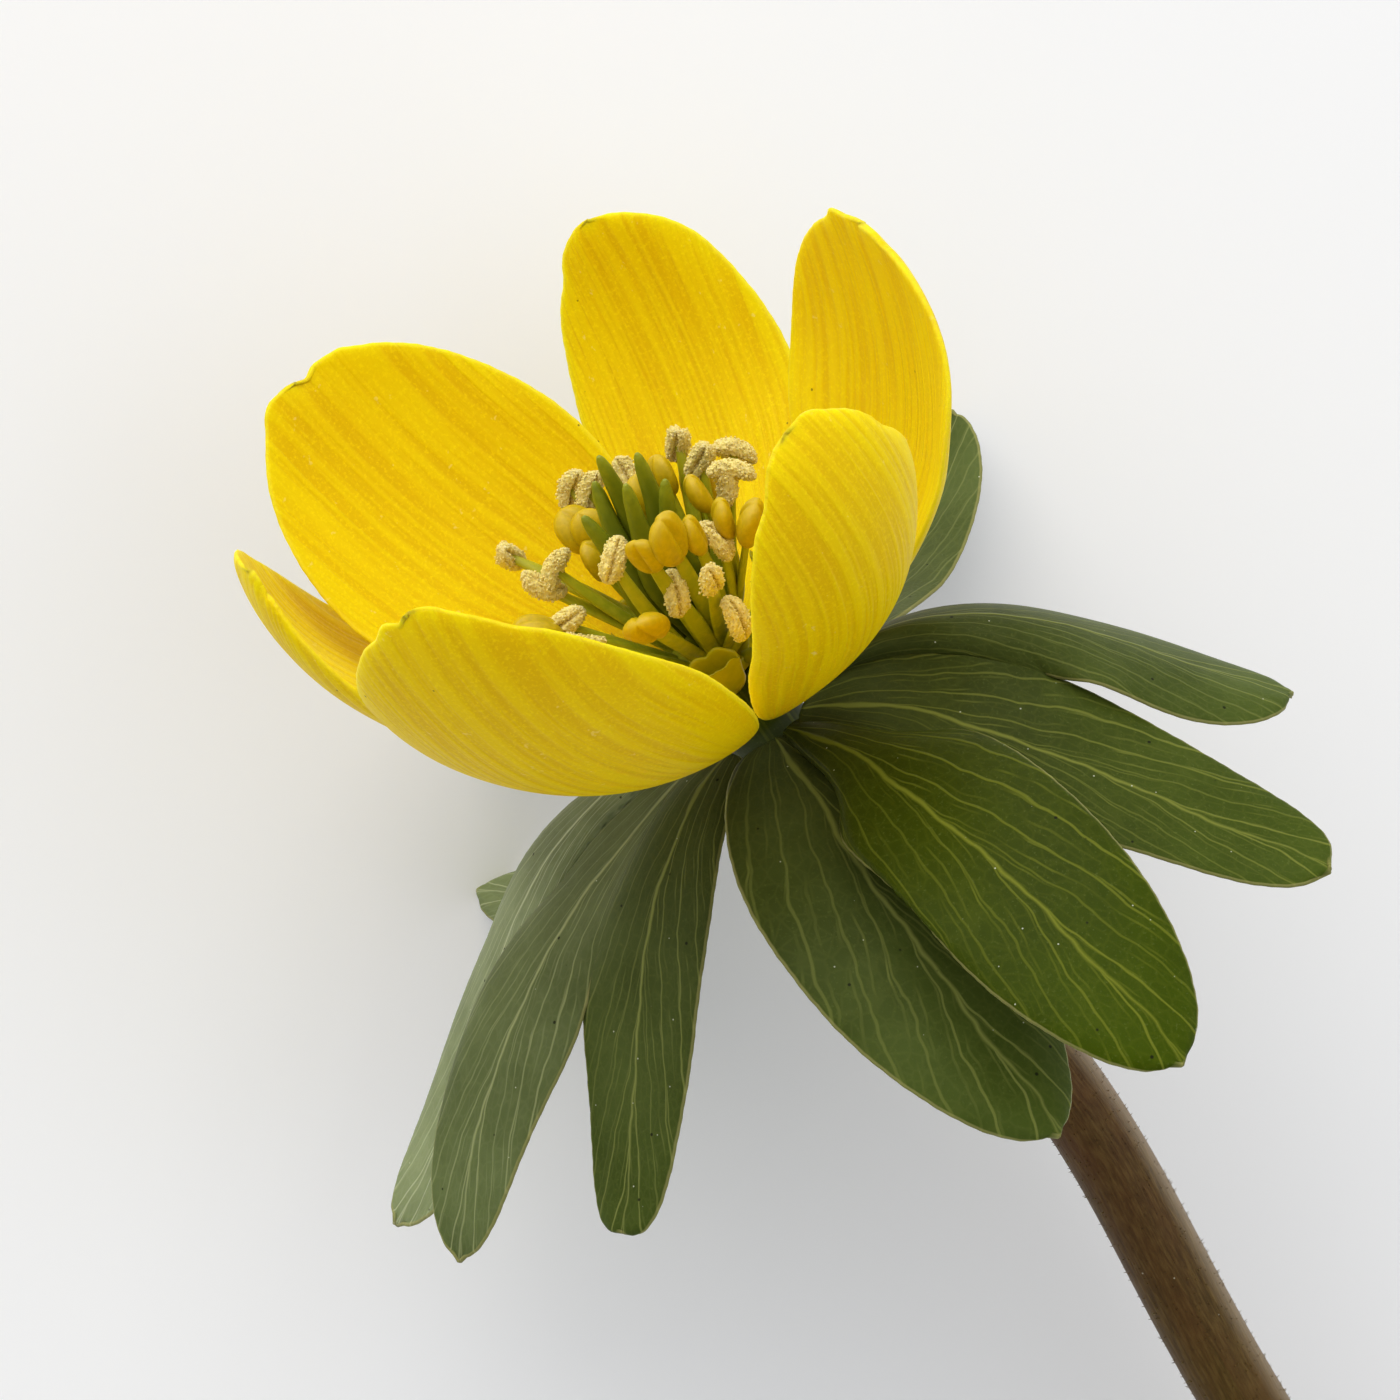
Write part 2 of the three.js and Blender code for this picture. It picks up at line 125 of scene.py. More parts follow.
def speckles(tree, tone, colour, perMetre, share, size):
    # Sparse small dots: in a few of the cells, those nearer to the cell's point than the size
    place = addNode(tree, "TexCoord")
    cells = addNode(tree, "TexVoronoi", {"Vector": place.outputs[3], "Scale": perMetre})
    chosen = addNode(tree, "SeparateColor", {"Color": cells.outputs[1]})
    rare = addNode(tree, "Math", {0: chosen, 1: 1 - share}, operation="GREATER_THAN")
    dot = addNode(tree, "MapRange", {
        "Value": cells, "From Min": size * 0.6, "From Max": size, "To Min": 0.85, "To Max": 0.0})
    both = addNode(tree, "Math", {0: rare, 1: dot}, operation="MULTIPLY")
    return mixColour(tree, both, tone, colour)


def bladeWay(tree):
    # Share of the way across the blade and from its foot to its tip
    uv = addNode(tree, "UVMap", uv_map="blade")
    apart = addNode(tree, "SeparateXYZ", {"Vector": uv})
    return apart.outputs[0], apart.outputs[1]


def sepalTissue():
    # Living yellow petal tissue: satin, a little see-through, ribbed lengthwise by its veins
    material, tree, shader = startMaterial("sepalTissue", **{
        "Roughness": 0.5, "Specular IOR Level": 0.07, "Subsurface Weight": 0.6,
        "Subsurface Radius": (1.0, 0.85, 0.01), "Subsurface Scale": 0.0009})
    ribs = addNode(tree, "TexNoise", {
        "Vector": bladeCoordinates(tree, 32, 1.7), "Scale": 1.0, "Distortion": 0.12})
    ribTone = addNode(tree, "MapRange", {
        "Value": ribs, "From Min": 0.36, "From Max": 0.64}, interpolation_type="SMOOTHSTEP")
    patches = addNode(tree, "TexNoise", {
        "Vector": bladeCoordinates(tree, 5, 4), "Scale": 1.0, "Detail": 3.0})
    place = addNode(tree, "TexCoord")
    grain = addNode(tree, "TexNoise", {
        "Vector": place.outputs[3], "Scale": 7000.0, "Roughness": 0.8})
    ramp = addNode(tree, "ValToRGB", {"Fac": ribTone}, stops=[
        (0.0, "#e1bd00"), (0.5, "#e8c700"), (1.0, "#eccd00")])
    tone = mixColour(tree, 0.14, ramp, patches, "SOFT_LIGHT")
    # painted glints: the brightest flecks of the finest grain are painted a brighter yellow, standing for
    # sparkling highlights
    paintedGlint = addNode(tree, "MapRange", {
        "Value": grain, "From Min": 0.5, "From Max": 0.72, "To Max": 0.5})
    tone = mixColour(tree, paintedGlint, tone, "#ffe60a")
    across, along = bladeWay(tree)
    foot = addNode(tree, "MapRange", {
        "Value": along, "From Min": 0.03, "From Max": 0.2, "To Min": 0.55, "To Max": 0.0})
    tone = mixColour(tree, foot, tone, "#a39c08")
    margin = addNode(tree, "Attribute", attribute_name="margin")
    rim = addNode(tree, "MapRange", {
        "Value": margin.outputs[2], "From Max": 0.12, "To Min": 0.3, "To Max": 0.0})
    tone = mixColour(tree, rim, tone, "#f6d840")
    scuffs = addNode(tree, "TexNoise", {
        "Vector": bladeCoordinates(tree, 16, 22), "Scale": 1.0, "Detail": 3.0, "Roughness": 0.75})
    scuffed = addNode(tree, "MapRange", {
        "Value": scuffs, "From Min": 0.66, "From Max": 0.7, "To Max": 0.6})
    tone = mixColour(tree, scuffed, tone, "#f5da6c")
    tone = speckles(tree, tone, "#6a5008", 700.0, 0.7, 0.045)
    feed(tree, shader.inputs["Base Color"], tone)
    bump = addNode(tree, "Bump", {"Height": ribTone, "Strength": 0.6, "Distance": 0.00007})
    fine = addNode(tree, "Bump", {
        "Height": grain, "Strength": 0.45, "Distance": 0.00004, "Normal": bump})
    feed(tree, shader.inputs["Normal"], fine)
    return material


def veinLines(tree, side, along, slope, count, width, shift):
    # Veins that leave the midrib and climb outward: lines where the height, less a slope times
    # the way out, passes an even step, shifted on one side, each vein with a strength of its own
    out = addNode(tree, "Math", {0: side}, operation="ABSOLUTE")
    bent = addNode(tree, "Math", {0: out, 1: 0.88}, operation="POWER")
    rise = addNode(tree, "Math", {0: bent, 1: -slope, 2: along}, operation="MULTIPLY_ADD")
    right = addNode(tree, "Math", {0: side, 1: 0.0}, operation="GREATER_THAN")
    rise = addNode(tree, "Math", {0: right, 1: shift, 2: rise}, operation="MULTIPLY_ADD")
    steps = addNode(tree, "Math", {0: rise, 1: count, 2: 40.0}, operation="MULTIPLY_ADD")
    near = addNode(tree, "Math", {0: steps, 1: 0.5}, operation="PINGPONG")
    line = addNode(tree, "MapRange", {
        "Value": near, "From Min": width * 0.3, "From Max": width, "To Min": 1.0, "To Max": 0.0},
        interpolation_type="SMOOTHSTEP")
    which = addNode(tree, "Math", {0: steps}, operation="ROUND")
    which = addNode(tree, "Math", {0: right, 1: 0.37, 2: which}, operation="MULTIPLY_ADD")
    drawn = addNode(tree, "TexWhiteNoise", {"W": which}, noise_dimensions="1D")
    strength = addNode(tree, "MapRange", {"Value": drawn, "To Min": 0.35})
    return addNode(tree, "Math", {0: line, 1: strength}, operation="MULTIPLY")


def bractTissue():
    # Fleshy green leaf tissue with a thin wax bloom, its pale grey partly painted sheen that lightens some
    # lobes: matt, with pale veins and a cream edge
    material, tree, shader = startMaterial("bractTissue", **{
        "Roughness": 0.42, "Specular IOR Level": 0.05, "Subsurface Weight": 0.1,
        "Subsurface Radius": (0.6, 1.0, 0.1), "Subsurface Scale": 0.0005})
    across, along = bladeWay(tree)
    wobble = addNode(tree, "TexNoise", {
        "Vector": bladeCoordinates(tree, 2.5, 7), "Scale": 1.0, "Detail": 2.5})
    side = addNode(tree, "Math", {0: across, 1: 2.0, 2: -1.0}, operation="MULTIPLY_ADD")
    shift = addNode(tree, "Math", {0: wobble, 1: 0.26, 2: -0.13}, operation="MULTIPLY_ADD")
    swung = addNode(tree, "Math", {0: side, 1: shift}, operation="ADD")
    out = addNode(tree, "Math", {0: swung}, operation="ABSOLUTE")
    tapered = addNode(tree, "Math", {0: along, 1: 0.03, 2: out}, operation="MULTIPLY_ADD")
    midrib = addNode(tree, "MapRange", {
        "Value": tapered, "From Min": 0.016, "From Max": 0.055, "To Min": 0.75, "To Max": 0.0},
        interpolation_type="SMOOTHSTEP")
    major = veinLines(tree, swung, along, 0.95, 3.7, 0.065, 0.13)
    minor = veinLines(tree, swung, along, 0.7, 9.0, 0.11, 0.06)
    fade = addNode(tree, "TexNoise", {
        "Vector": bladeCoordinates(tree, 7, 9), "Scale": 1.0, "Detail": 1.0})
    majorSeen = addNode(tree, "Math", {0: major, 1: 0.6}, operation="MULTIPLY")
    minorShare = addNode(tree, "MapRange", {
        "Value": fade, "From Min": 0.42, "From Max": 0.62, "To Max": 0.4})
    minorSeen = addNode(tree, "Math", {0: minor, 1: minorShare}, operation="MULTIPLY")
    net = addNode(tree, "TexVoronoi", {
        "Vector": bladeCoordinates(tree, 16, 34), "Scale": 1.0}, feature="DISTANCE_TO_EDGE")
    netLine = addNode(tree, "MapRange", {
        "Value": net, "From Max": 0.12, "To Min": 0.06, "To Max": 0.0})
    veins = midrib
    for layer in (majorSeen, minorSeen, netLine):
        veins = addNode(tree, "Math", {0: veins, 1: layer}, operation="MAXIMUM")
    place = addNode(tree, "TexCoord")
    patches = addNode(tree, "TexNoise", {
        "Vector": place.outputs[3], "Scale": 200.0, "Detail": 4.0, "Roughness": 0.6})
    green = addNode(tree, "ValToRGB", {"Fac": along}, stops=[
        (0.0, "#3c4218"), (0.3, "#363f08"), (0.65, "#364201"), (1.0, "#3a4900")])
    tone = mixColour(tree, 0.5, green, patches, "SOFT_LIGHT")
    # wax bloom and painted sheen: a pale grey per lobe, partly the bloom's own colour, partly painted light
    # on lobes that face the light or lie in another's shadow
    wax = addNode(tree, "Attribute", attribute_name="wax")
    waxed = addNode(tree, "Math", {0: wax.outputs[2], 1: patches}, operation="MULTIPLY")
    tone = mixColour(tree, waxed, tone, "#98a276")
    veinTone = mixColour(tree, wax.outputs[2], "#7d8228", "#c3c7a0")
    tone = mixColour(tree, veins, tone, veinTone)
    margin = addNode(tree, "Attribute", attribute_name="margin")
    rim = addNode(tree, "MapRange", {
        "Value": margin.outputs[2], "From Max": 0.05, "To Min": 0.5, "To Max": 0.0})
    tone = mixColour(tree, rim, tone, "#a39c60")
    grain = addNode(tree, "TexNoise", {"Vector": place.outputs[3], "Scale": 9000.0})
    pale = addNode(tree, "MapRange", {
        "Value": grain, "From Min": 0.6, "From Max": 0.75, "To Max": 0.2})
    tone = mixColour(tree, pale, tone, "#6f7a3c")
    tone = speckles(tree, tone, "#15130b", 900.0, 0.6, 0.07)
    tone = speckles(tree, tone, "#c9cbb0", 1700.0, 0.4, 0.06)
    feed(tree, shader.inputs["Base Color"], tone)
    bump = addNode(tree, "Bump", {"Height": veins, "Strength": 0.5, "Distance": 0.00005})
    fine = addNode(tree, "Bump", {
        "Height": grain, "Strength": 0.35, "Distance": 0.00003, "Normal": bump})
    feed(tree, shader.inputs["Normal"], fine)
    return material


def stemSkin():
    # Juicy flower stalk: olive to red brown skin, finely striped lengthwise, a little glossy
    material, tree, shader = startMaterial("stemSkin", **{
        "Roughness": 0.42, "Specular IOR Level": 0.12, "Subsurface Weight": 0.15,
        "Subsurface Radius": (1.0, 0.5, 0.25), "Subsurface Scale": 0.0008})
    across, along = bladeWay(tree)
    stripes = addNode(tree, "TexNoise", {
        "Vector": bladeCoordinates(tree, 70, 60), "Scale": 1.0, "Detail": 4.0, "Roughness": 0.65})
    clouds = addNode(tree, "TexNoise", {
        "Vector": bladeCoordinates(tree, 3, 9), "Scale": 1.0, "Detail": 3.0, "Roughness": 0.6})
    ramp = addNode(tree, "ValToRGB", {"Fac": stripes}, stops=[
        (0.35, "#3f2e10"), (0.5, "#543f1b"), (0.65, "#6b542a")])
    red = addNode(tree, "MapRange", {
        "Value": clouds, "From Min": 0.35, "From Max": 0.65, "To Max": 0.6})
    tone = mixColour(tree, red, ramp, "#5f3c20")
    # painted reflection: a pale band down one side of the stalk stands for light glancing off its grazing
    # edge
    aside = addNode(tree, "Math", {0: across, 1: -0.81}, operation="ADD")
    aside = addNode(tree, "Math", {0: aside, 1: 0.5}, operation="PINGPONG")
    paintedReflectionBand = addNode(tree, "MapRange", {
        "Value": aside, "From Min": 0.02, "From Max": 0.1, "To Min": 0.5, "To Max": 0.0})
    tone = mixColour(tree, paintedReflectionBand, tone, "#a8957a")  # painted reflection: one flank is painted pale where the bright surroundings glance off it
    lower = addNode(tree, "MapRange", {
        "Value": along, "From Min": 0.38, "From Max": 0.6, "To Max": 0.55})
    tone = mixColour(tree, lower, tone, "#5e4c14")  # olive towards the foot
    head = addNode(tree, "MapRange", {
        "Value": along, "From Min": 0.015, "From Max": 0.04, "To Min": 1.0, "To Max": 0.0})
    tone = mixColour(tree, head, tone, "#3c4a08")  # green where sepals and bracts spring
    cut = addNode(tree, "MapRange", {
        "Value": along, "From Min": 0.9915, "From Max": 0.993})
    tone = mixColour(tree, cut, tone, "#98935a")  # pale flesh of the cut end
    tone = speckles(tree, tone, "#c9c0a4", 2600.0, 0.1, 0.1)
    feed(tree, shader.inputs["Base Color"], tone)
    bump = addNode(tree, "Bump", {"Height": stripes, "Strength": 0.5, "Distance": 0.00006})
    feed(tree, shader.inputs["Normal"], bump)
    return material


def heartTissue(name, foot, tip, fleck, roughness, perMetre, depth):
    # Soft tissue of the heart: one tone at its foot drifting to another at its tip, flecked
    material, tree, shader = startMaterial(name, **{
        "Roughness": roughness, "Specular IOR Level": 0.3, "Subsurface Weight": 0.2,
        "Subsurface Radius": (1.0, 0.8, 0.1), "Subsurface Scale": 0.0005})
    along = addNode(tree, "Attribute", attribute_name="along")
    ramp = addNode(tree, "ValToRGB", {"Fac": along.outputs[2]}, stops=[(0.1, foot), (0.9, tip)])
    place = addNode(tree, "TexCoord")
    noise = addNode(tree, "TexNoise", {
        "Vector": place.outputs[3], "Scale": perMetre, "Detail": 3.0, "Roughness": 0.65})
    share = addNode(tree, "MapRange", {
        "Value": noise, "From Min": 0.4, "From Max": 0.65, "To Max": 0.7})
    tone = mixColour(tree, share, ramp, fleck)
    feed(tree, shader.inputs["Base Color"], tone)
    bump = addNode(tree, "Bump", {"Height": noise, "Strength": 0.6, "Distance": depth})
    feed(tree, shader.inputs["Normal"], bump)
    return material


yellowSepal = sepalTissue()
greenBract = bractTissue()
brownStem = stemSkin()
goldNectary = heartTissue("nectaryTissue", "#808606", "#a29a04", "#b0a408", 0.35, 1500, 0.00003)
strapFilament = heartTissue("filamentTissue", "#8c9410", "#a8a818", "#b8b222", 0.4, 2500, 0.00003)
# pollen, its clumps drawn coarser than real
openPollen = heartTissue("pollenGrains", "#b0902c", "#f6df80", "#fff0a8", 0.9, 12000, 0.00006)
closedAnther = heartTissue("antherSkin", "#b09804", "#c2a404", "#d0b00a", 0.4, 4000, 0.00003)
greenCarpel = heartTissue("carpelTissue", "#3c4c06", "#8a9014", "#6c7610", 0.4, 2000, 0.00003)
print("materials ready")


# ---- meshes
def makePiece(name, points, faces, materials, nodes, slotName, uvs=None, slots=None, **values):
    # Bloom points and triangles into a smooth object that stands for the CAD nodes named
    mesh = bpy.data.meshes.new(name)
    mesh.vertices.add(len(points))
    mesh.vertices.foreach_set("co", laid(points).ravel())
    mesh.loops.add(faces.size)
    mesh.loops.foreach_set("vertex_index", faces.ravel())
    mesh.polygons.add(len(faces))
    mesh.polygons.foreach_set("loop_start", np.arange(0, faces.size, 3))
    mesh.update(calc_edges=True)
    mesh.polygons.foreach_set("use_smooth", np.ones(len(faces), dtype=bool))
    if uvs is not None:
        mesh.uv_layers.new(name="blade").data.foreach_set("uv", uvs.ravel())
    for key, value in values.items():
        mesh.attributes.new(key, "FLOAT", "POINT").data.foreach_set("value", value)
    for material in materials:
        mesh.materials.append(material)
    if slots is not None:
        mesh.polygons.foreach_set("material_index", slots)
    mesh.validate()
    piece = bpy.data.objects.new(name, mesh)
    bpy.context.scene.collection.objects.link(piece)
    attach(piece, "root")
    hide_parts(*nodes)
    return piece


def bladeMap(t, s, half, shift=0):
    # The blade's map: the way across over the greatest half width so far, and the way along
    across = s[None, :] * (half / np.maximum.accumulate(half))[:, None]
    along = np.repeat(t[:, None], len(s), 1)
    return np.stack([0.5 + 0.5 * across + shift, along], -1).reshape(-1, 2)


def gridFaces(rows, columns):
    # Two triangles for each cell of a grid of points
    a = (np.arange(rows - 1)[:, None] * columns + np.arange(columns - 1)[None, :]).ravel()
    b, c, d = a + 1, a + columns + 1, a + columns
    return np.concatenate([np.stack([a, b, c], 1), np.stack([a, c, d], 1)])


def bendAlong(lean, t):
    # The curve through the leans at the base, the middle and the tip, in radians
    base, middle, tip = np.radians(lean)
    return base * (1 - t) * (1 - 2 * t) + middle * 4 * t * (1 - t) + tip * t * (2 * t - 1)


# for every blade: how its rows crowd to the tip, the steps of its walk, its thickness within and at
# the margin, the share of the way over which its neck and its trim fade, the millimetres over which
# a bump and the thin margin fade inward, the two rates of its raggedness, and where its swell starts
bladeRules = {"crowd": 1.3, "steps": 63, "thickness": (0.42, 0.14), "neckFade": 0.13,
              "trimFade": 0.28, "bumpFade": 0.9, "marginFade": 0.5, "ragged": (3.1, 7.3),
              "swellFrom": 0.25, "swellOver": 0.3}


def bladeGrid(blade, rows, columns):
    # Rows of arcs across a midrib that is walked outward by its lean and turn at each step;
    # the half width is a power of q(1-q), q the share of the way to a power
    t = 1 - (1 - np.linspace(0, 1, rows)) ** bladeRules["crowd"]
    s = np.linspace(-1, 1, columns)
    steps = bladeRules["steps"]
    middle = (np.arange(steps) + 0.5) / steps
    lean, turn = bendAlong(blade["lean"], middle), np.radians(blade["at"] + blade["veer"] * middle)
    walk = np.stack([np.sin(lean) * np.cos(turn), np.sin(lean) * np.sin(turn), np.cos(lean)], 1)
    at = np.radians(blade["at"])
    foot = [blade["ring"] * np.cos(at), blade["ring"] * np.sin(at), blade["rise"]]
    line = np.vstack([np.zeros(3), np.cumsum(walk, 0)]) * blade["length"] / steps + foot
    spine = np.stack([np.interp(t, np.linspace(0, 1, steps + 1), line[:, k]) for k in range(3)], 1)
    lean, turn = bendAlong(blade["lean"], t), np.radians(blade["at"] + blade["veer"] * t)
    across = np.stack([-np.sin(turn), np.cos(turn), 0 * turn], 1)
    inward = np.stack([-np.cos(lean) * np.cos(turn), -np.cos(lean) * np.sin(turn), np.sin(lean)], 1)
    roll = np.radians(blade["roll"][0] + blade["roll"][1] * t)[:, None]
    side = across * np.cos(roll) + inward * np.sin(roll)
    up = inward * np.cos(roll) - across * np.sin(roll)
    q = t ** blade["crest"]
    neck = 1 - blade["neck"] * np.exp(-t / bladeRules["neckFade"])
    full = blade["half"] * (4 * q * (1 - q)) ** blade["round"] * neck
    half = np.maximum(full, blade["claw"] * np.sqrt(1 - t))
    hug = (blade["hug"][0] + (blade["hug"][1] - blade["hug"][0]) * t)[:, None]
    hug = np.where(np.abs(hug) < 1e-4, 1e-4, hug)
    low = np.exp(-((t / bladeRules["trimFade"]) ** 2))[:, None]
    trim = 1 - np.where(s < 0, blade["trim"][0], blade["trim"][1])[None, :] * low
    x = s * (1 + blade["skew"] * s) * half[:, None] * trim
    grid = spine[:, None] + side[:, None] * (np.sin(hug * x) / hug)[..., None]
    grid = grid + up[:, None] * ((1 - np.cos(hug * x)) / hug)[..., None]
    ahead = np.stack([np.sin(lean) * np.cos(turn), np.sin(lean) * np.sin(turn), np.cos(lean)], 1)
    return shapedEdge(grid, side, ahead, up, t, s, half, blade), t, s, half


def shapedEdge(grid, side, ahead, up, t, s, half, blade):
    # Moves the margin in and out in the blade's own plane by bell shaped bumps and a fine product
    # of two sines, both fading inward, and lifts the blade out of its plane by two sines of the
    # way along and across, times the way out, so that it swells and dips gently
    length = blade["length"]
    edgeWay = np.hypot(np.gradient(half), np.gradient(t) * length)
    fromTip = np.cumsum(edgeWay[::-1])[::-1] - edgeWay[-1]
    place = s[None, :] * fromTip[:, None]
    slope = np.gradient(half) / np.maximum(edgeWay, 1e-9)
    lift = sum(height * np.exp(-(((place - middle) / width) ** 2))
               for middle, width, height in blade["bumps"])
    slow, quick = bladeRules["ragged"]
    lift = lift + blade["ragged"] * np.sin(place * slow + blade["at"]) * np.sin(place * quick)
    lift = lift * np.exp(-edgeDistance(t, s, half, length) / bladeRules["bumpFade"])
    run = np.sqrt(np.maximum(1 - slope ** 2, 0))[:, None]
    grid = grid + side[:, None] * (lift * s[None, :] * run)[..., None]
    grid = grid + ahead[:, None] * (lift * np.clip(-slope, 0, 1)[:, None])[..., None]
    t, s, phase = t[:, None], s[None, :], blade["at"]
    swell = np.sin(2.1 * np.pi * t + 2.6 * s + phase) * np.abs(s) ** 1.5
    swell = swell + 0.5 * np.sin(5.3 * np.pi * t - 1.9 * s + 2 * phase) * s ** 2
    fade = np.clip((t - bladeRules["swellFrom"]) / bladeRules["swellOver"], 0, 1) ** 2
    return grid + up[:, None] * (blade["swell"] * swell * fade)[..., None]


def edgeDistance(t, s, half, length):
    # Millimetres to the nearer of the blade's side and its tip, over the whole grid
    return np.minimum((1 - np.abs(s))[None, :] * half[:, None], ((1 - t) * length)[:, None])


def joinLobes(grids, t, s, joined):
    # Facing edges of neighbouring lobes are drawn to their mean, by the square of the way out,
    # up to the notch where they part, and past it by a bell shaped share of the way along
    moved = [grid.copy() for grid in grids]
    for i, share in enumerate(joined):
        left, right = grids[i][:, -1], grids[i + 1][:, 0]
        pull = np.where(t <= share, 1, 0.92 * np.exp(-(((t - share) / 0.11) ** 2)))[:, None]
        seam = (left + right) / 2
        outLeft = np.where(s > 0, s * s, 0)[None, :, None]
        outRight = np.where(s < 0, s * s, 0)[None, :, None]
        moved[i] += ((seam - left) * pull)[:, None] * outLeft
        moved[i + 1] += ((seam - right) * pull)[:, None] * outRight
    return moved


def thickened(points, faces, uvs, margin, wax):
    # Points welded, then both sides offset along the normals by half the thickness, thinner at
    # the margin, and a rounded rim laid round the open edge
    keys, first, welded = np.unique(np.round(points * 1e4).astype(np.int64), axis=0,
                                    return_index=True, return_inverse=True)
    welded = welded.reshape(-1)
    points, margin, wax = points[first], margin[first], wax[first]
    faces = welded[faces]
    real = (faces != np.roll(faces, -1, 1)).all(1)
    faces, uvs = faces[real], uvs[real]
    a, b, c = points[faces].transpose(1, 0, 2)
    flat = np.cross(b - a, c - a)
    normals = np.zeros_like(points)
    for k in range(3):
        np.add.at(normals, faces[:, k], flat)
    normals = unit(normals)
    thick, thin = bladeRules["thickness"]
    depth = (thick + (thin - thick) * np.exp(-margin / bladeRules["marginFade"]))[:, None] / 2
    count = len(points)
    sides, sideUvs = (np.concatenate([corner[:, [0, 1]], corner[:, [1, 2]], corner[:, [2, 0]]])
                      for corner in (faces, uvs))
    code, twin = sides[:, 0] * count + sides[:, 1], sides[:, 1] * count + sides[:, 0]
    alone = ~np.isin(code, twin)
    rim, rimUvs = sides[alone], sideUvs[alone]
    outward = np.zeros_like(points)
    away = unit(np.cross(points[rim[:, 1]] - points[rim[:, 0]], normals[rim[:, 0]]))
    np.add.at(outward, rim[:, 0], away)
    np.add.at(outward, rim[:, 1], away)
    outward = unit(outward)
    rimIds = np.unique(rim)
    lipOf = np.full(count, -1)
    lipOf[rimIds] = 2 * count + np.arange(len(rimIds))
    lips = points[rimIds] + outward[rimIds] * thin * 0.45
    allPoints = np.concatenate([points + normals * depth, points - normals * depth, lips])
    a, b = rim[:, 0], rim[:, 1]
    lipA, lipB, backA, backB = lipOf[a], lipOf[b], a + count, b + count
    wall = np.concatenate([np.stack(ids, 1) for ids in (
        (b, a, lipA), (b, lipA, lipB), (lipB, lipA, backA), (lipB, backA, backB))])
    ua, ub = rimUvs[:, 0], rimUvs[:, 1]
    wallUvs = np.concatenate([np.stack(ids, 1) for ids in (
        (ub, ua, ua), (ub, ua, ub), (ub, ua, ua), (ub, ua, ub))])
    allFaces = np.concatenate([faces, faces[:, [0, 2, 1]] + count, wall])
    allUvs = np.concatenate([uvs, uvs[:, [0, 2, 1]], wallUvs])
    allMargin = np.concatenate([margin, margin, np.zeros(len(rimIds))])
    return allPoints, allFaces, allUvs, allMargin, np.concatenate([wax, wax, wax[rimIds]])


# ---- sepals
# every blade in degrees and millimetres: where round the axis it springs and how far it veers by its
# tip, its length and greatest half width, its lean from the axis at foot, middle and tip, its roll at
# the foot and what the way to the tip adds, how its section curls at foot and tip, the powers of its
# outline, how lopsided it is, its foot's radius and height, and the share cut off each side near there
sepalForm = {"rows": 150, "columns": 101,
             "shared": dict(claw=0.65, neck=0.6, skew=0, ring=1.9, rise=0.35, ragged=0.014, swell=0.12)}
# how the edge of each departs from the smooth form: place along the edge from the tip, to the left
# when negative, width and height
sepalBumps = {
    "sepal_1": ((1.25, 0.75, 0.34), (-0.35, 0.38, -0.34), (-1.9, 0.5, 0.08)),
    "sepal_2": ((-3.3, 1.6, 0.16), (3.1, 0.9, -0.18)),
    "sepal_3": ((2.1, 0.45, 0.3), (-1.4, 0.6, -0.16)),
    "sepal_4": ((-2.5, 0.9, -0.25), (0.9, 0.6, 0.18), (4.5, 1.0, -0.2)),
    "sepal_5": ((0.7, 0.55, 0.18), (-0.45, 0.22, -0.18), (-1.1, 0.3, 0.1), (-1.9, 0.4, -0.1),
                (3.4, 0.9, -0.18)),
    "sepal_6": ((1.0, 0.6, -0.3), (3.0, 1.2, -0.22), (-2.9, 0.8, 0.12)),
}
sepals = {
    "sepal_1": dict(at=124, veer=1, length=18.9, half=6.3, lean=(62, 34, 6), roll=(-2.5, -6),
                    hug=(0.13, 0.07), crest=1, round=0.5, trim=(0.3, 0.75)),
    "sepal_2": dict(at=72, veer=-6, length=19.9, half=4.3, lean=(106, 52, 5), roll=(4.5, 0),
                    hug=(0.12, 0.02), crest=1.15, round=0.53, skew=-0.14, ring=1.65, rise=0.9,
                    trim=(0.25, 0.45)),
    "sepal_3": dict(at=4, veer=17.5, length=17.7, half=7.2, lean=(97, 41, 6), roll=(-3.5, -9.5),
                    hug=(0.13, 0.03), crest=1.5, round=0.52, skew=0.02, trim=(0.15, 0.2)),
    "sepal_4": dict(at=-60, veer=-6.5, length=19.8, half=4.95, lean=(58.5, 44, -30), roll=(-3.5, 2),
                    hug=(0.17, 0.19), crest=1.2, round=0.52, ring=2.15, rise=-0.15, trim=(0.1, 0), neck=0.12),
    "sepal_5": dict(at=-125.5, veer=2.3, length=22, half=6.25, lean=(69.5, 35.5, -11), roll=(3.5, -9.5),
                    hug=(0.13, 0.1), crest=1.25, round=0.62, ring=2, rise=0.1, trim=(0, 0.05), neck=0.15),
    "sepal_6": dict(at=175, veer=-8.5, length=19.3, half=5.3, lean=(73.5, 40, -21), roll=(9.5, 10.5),
                    hug=(0.02, 0.11), crest=1.05, round=0.5, skew=-0.23, ring=1.65, rise=0.9,
                    trim=(0.85, 0.3)),
}
for index, (name, blade) in enumerate(sepals.items()):
    blade = {**sepalForm["shared"], "bumps": sepalBumps[name], **blade}
    rows, columns = sepalForm["rows"], sepalForm["columns"]
    grid, t, s, half = bladeGrid(blade, rows, columns)
    margin = edgeDistance(t, s, half, blade["length"]).ravel()
    faces = gridFaces(rows, columns)
    uvPoints = bladeMap(t, s, half, 3 * index)
    points, faces, uvs, margin, wax = thickened(
        grid.reshape(-1, 3), faces, uvPoints[faces], margin, 0 * margin)
    makePiece(name + "_fine", points, faces, [yellowSepal], [name], "sepal", uvs, margin=margin)
print("sepals ready")


# ---- bracts
bractForm = {"rows": 130, "columns": 51,
             "shared": dict(claw=0.65, neck=0, ring=1.9, rise=-1.3, roll=(0, 0), hug=(-0.06, -0.03),
                            crest=1.3, round=0.47, skew=0, trim=(0, 0), ragged=0.016, swell=0.12,
                            bumps=((0, 0.15, 0.2),))}
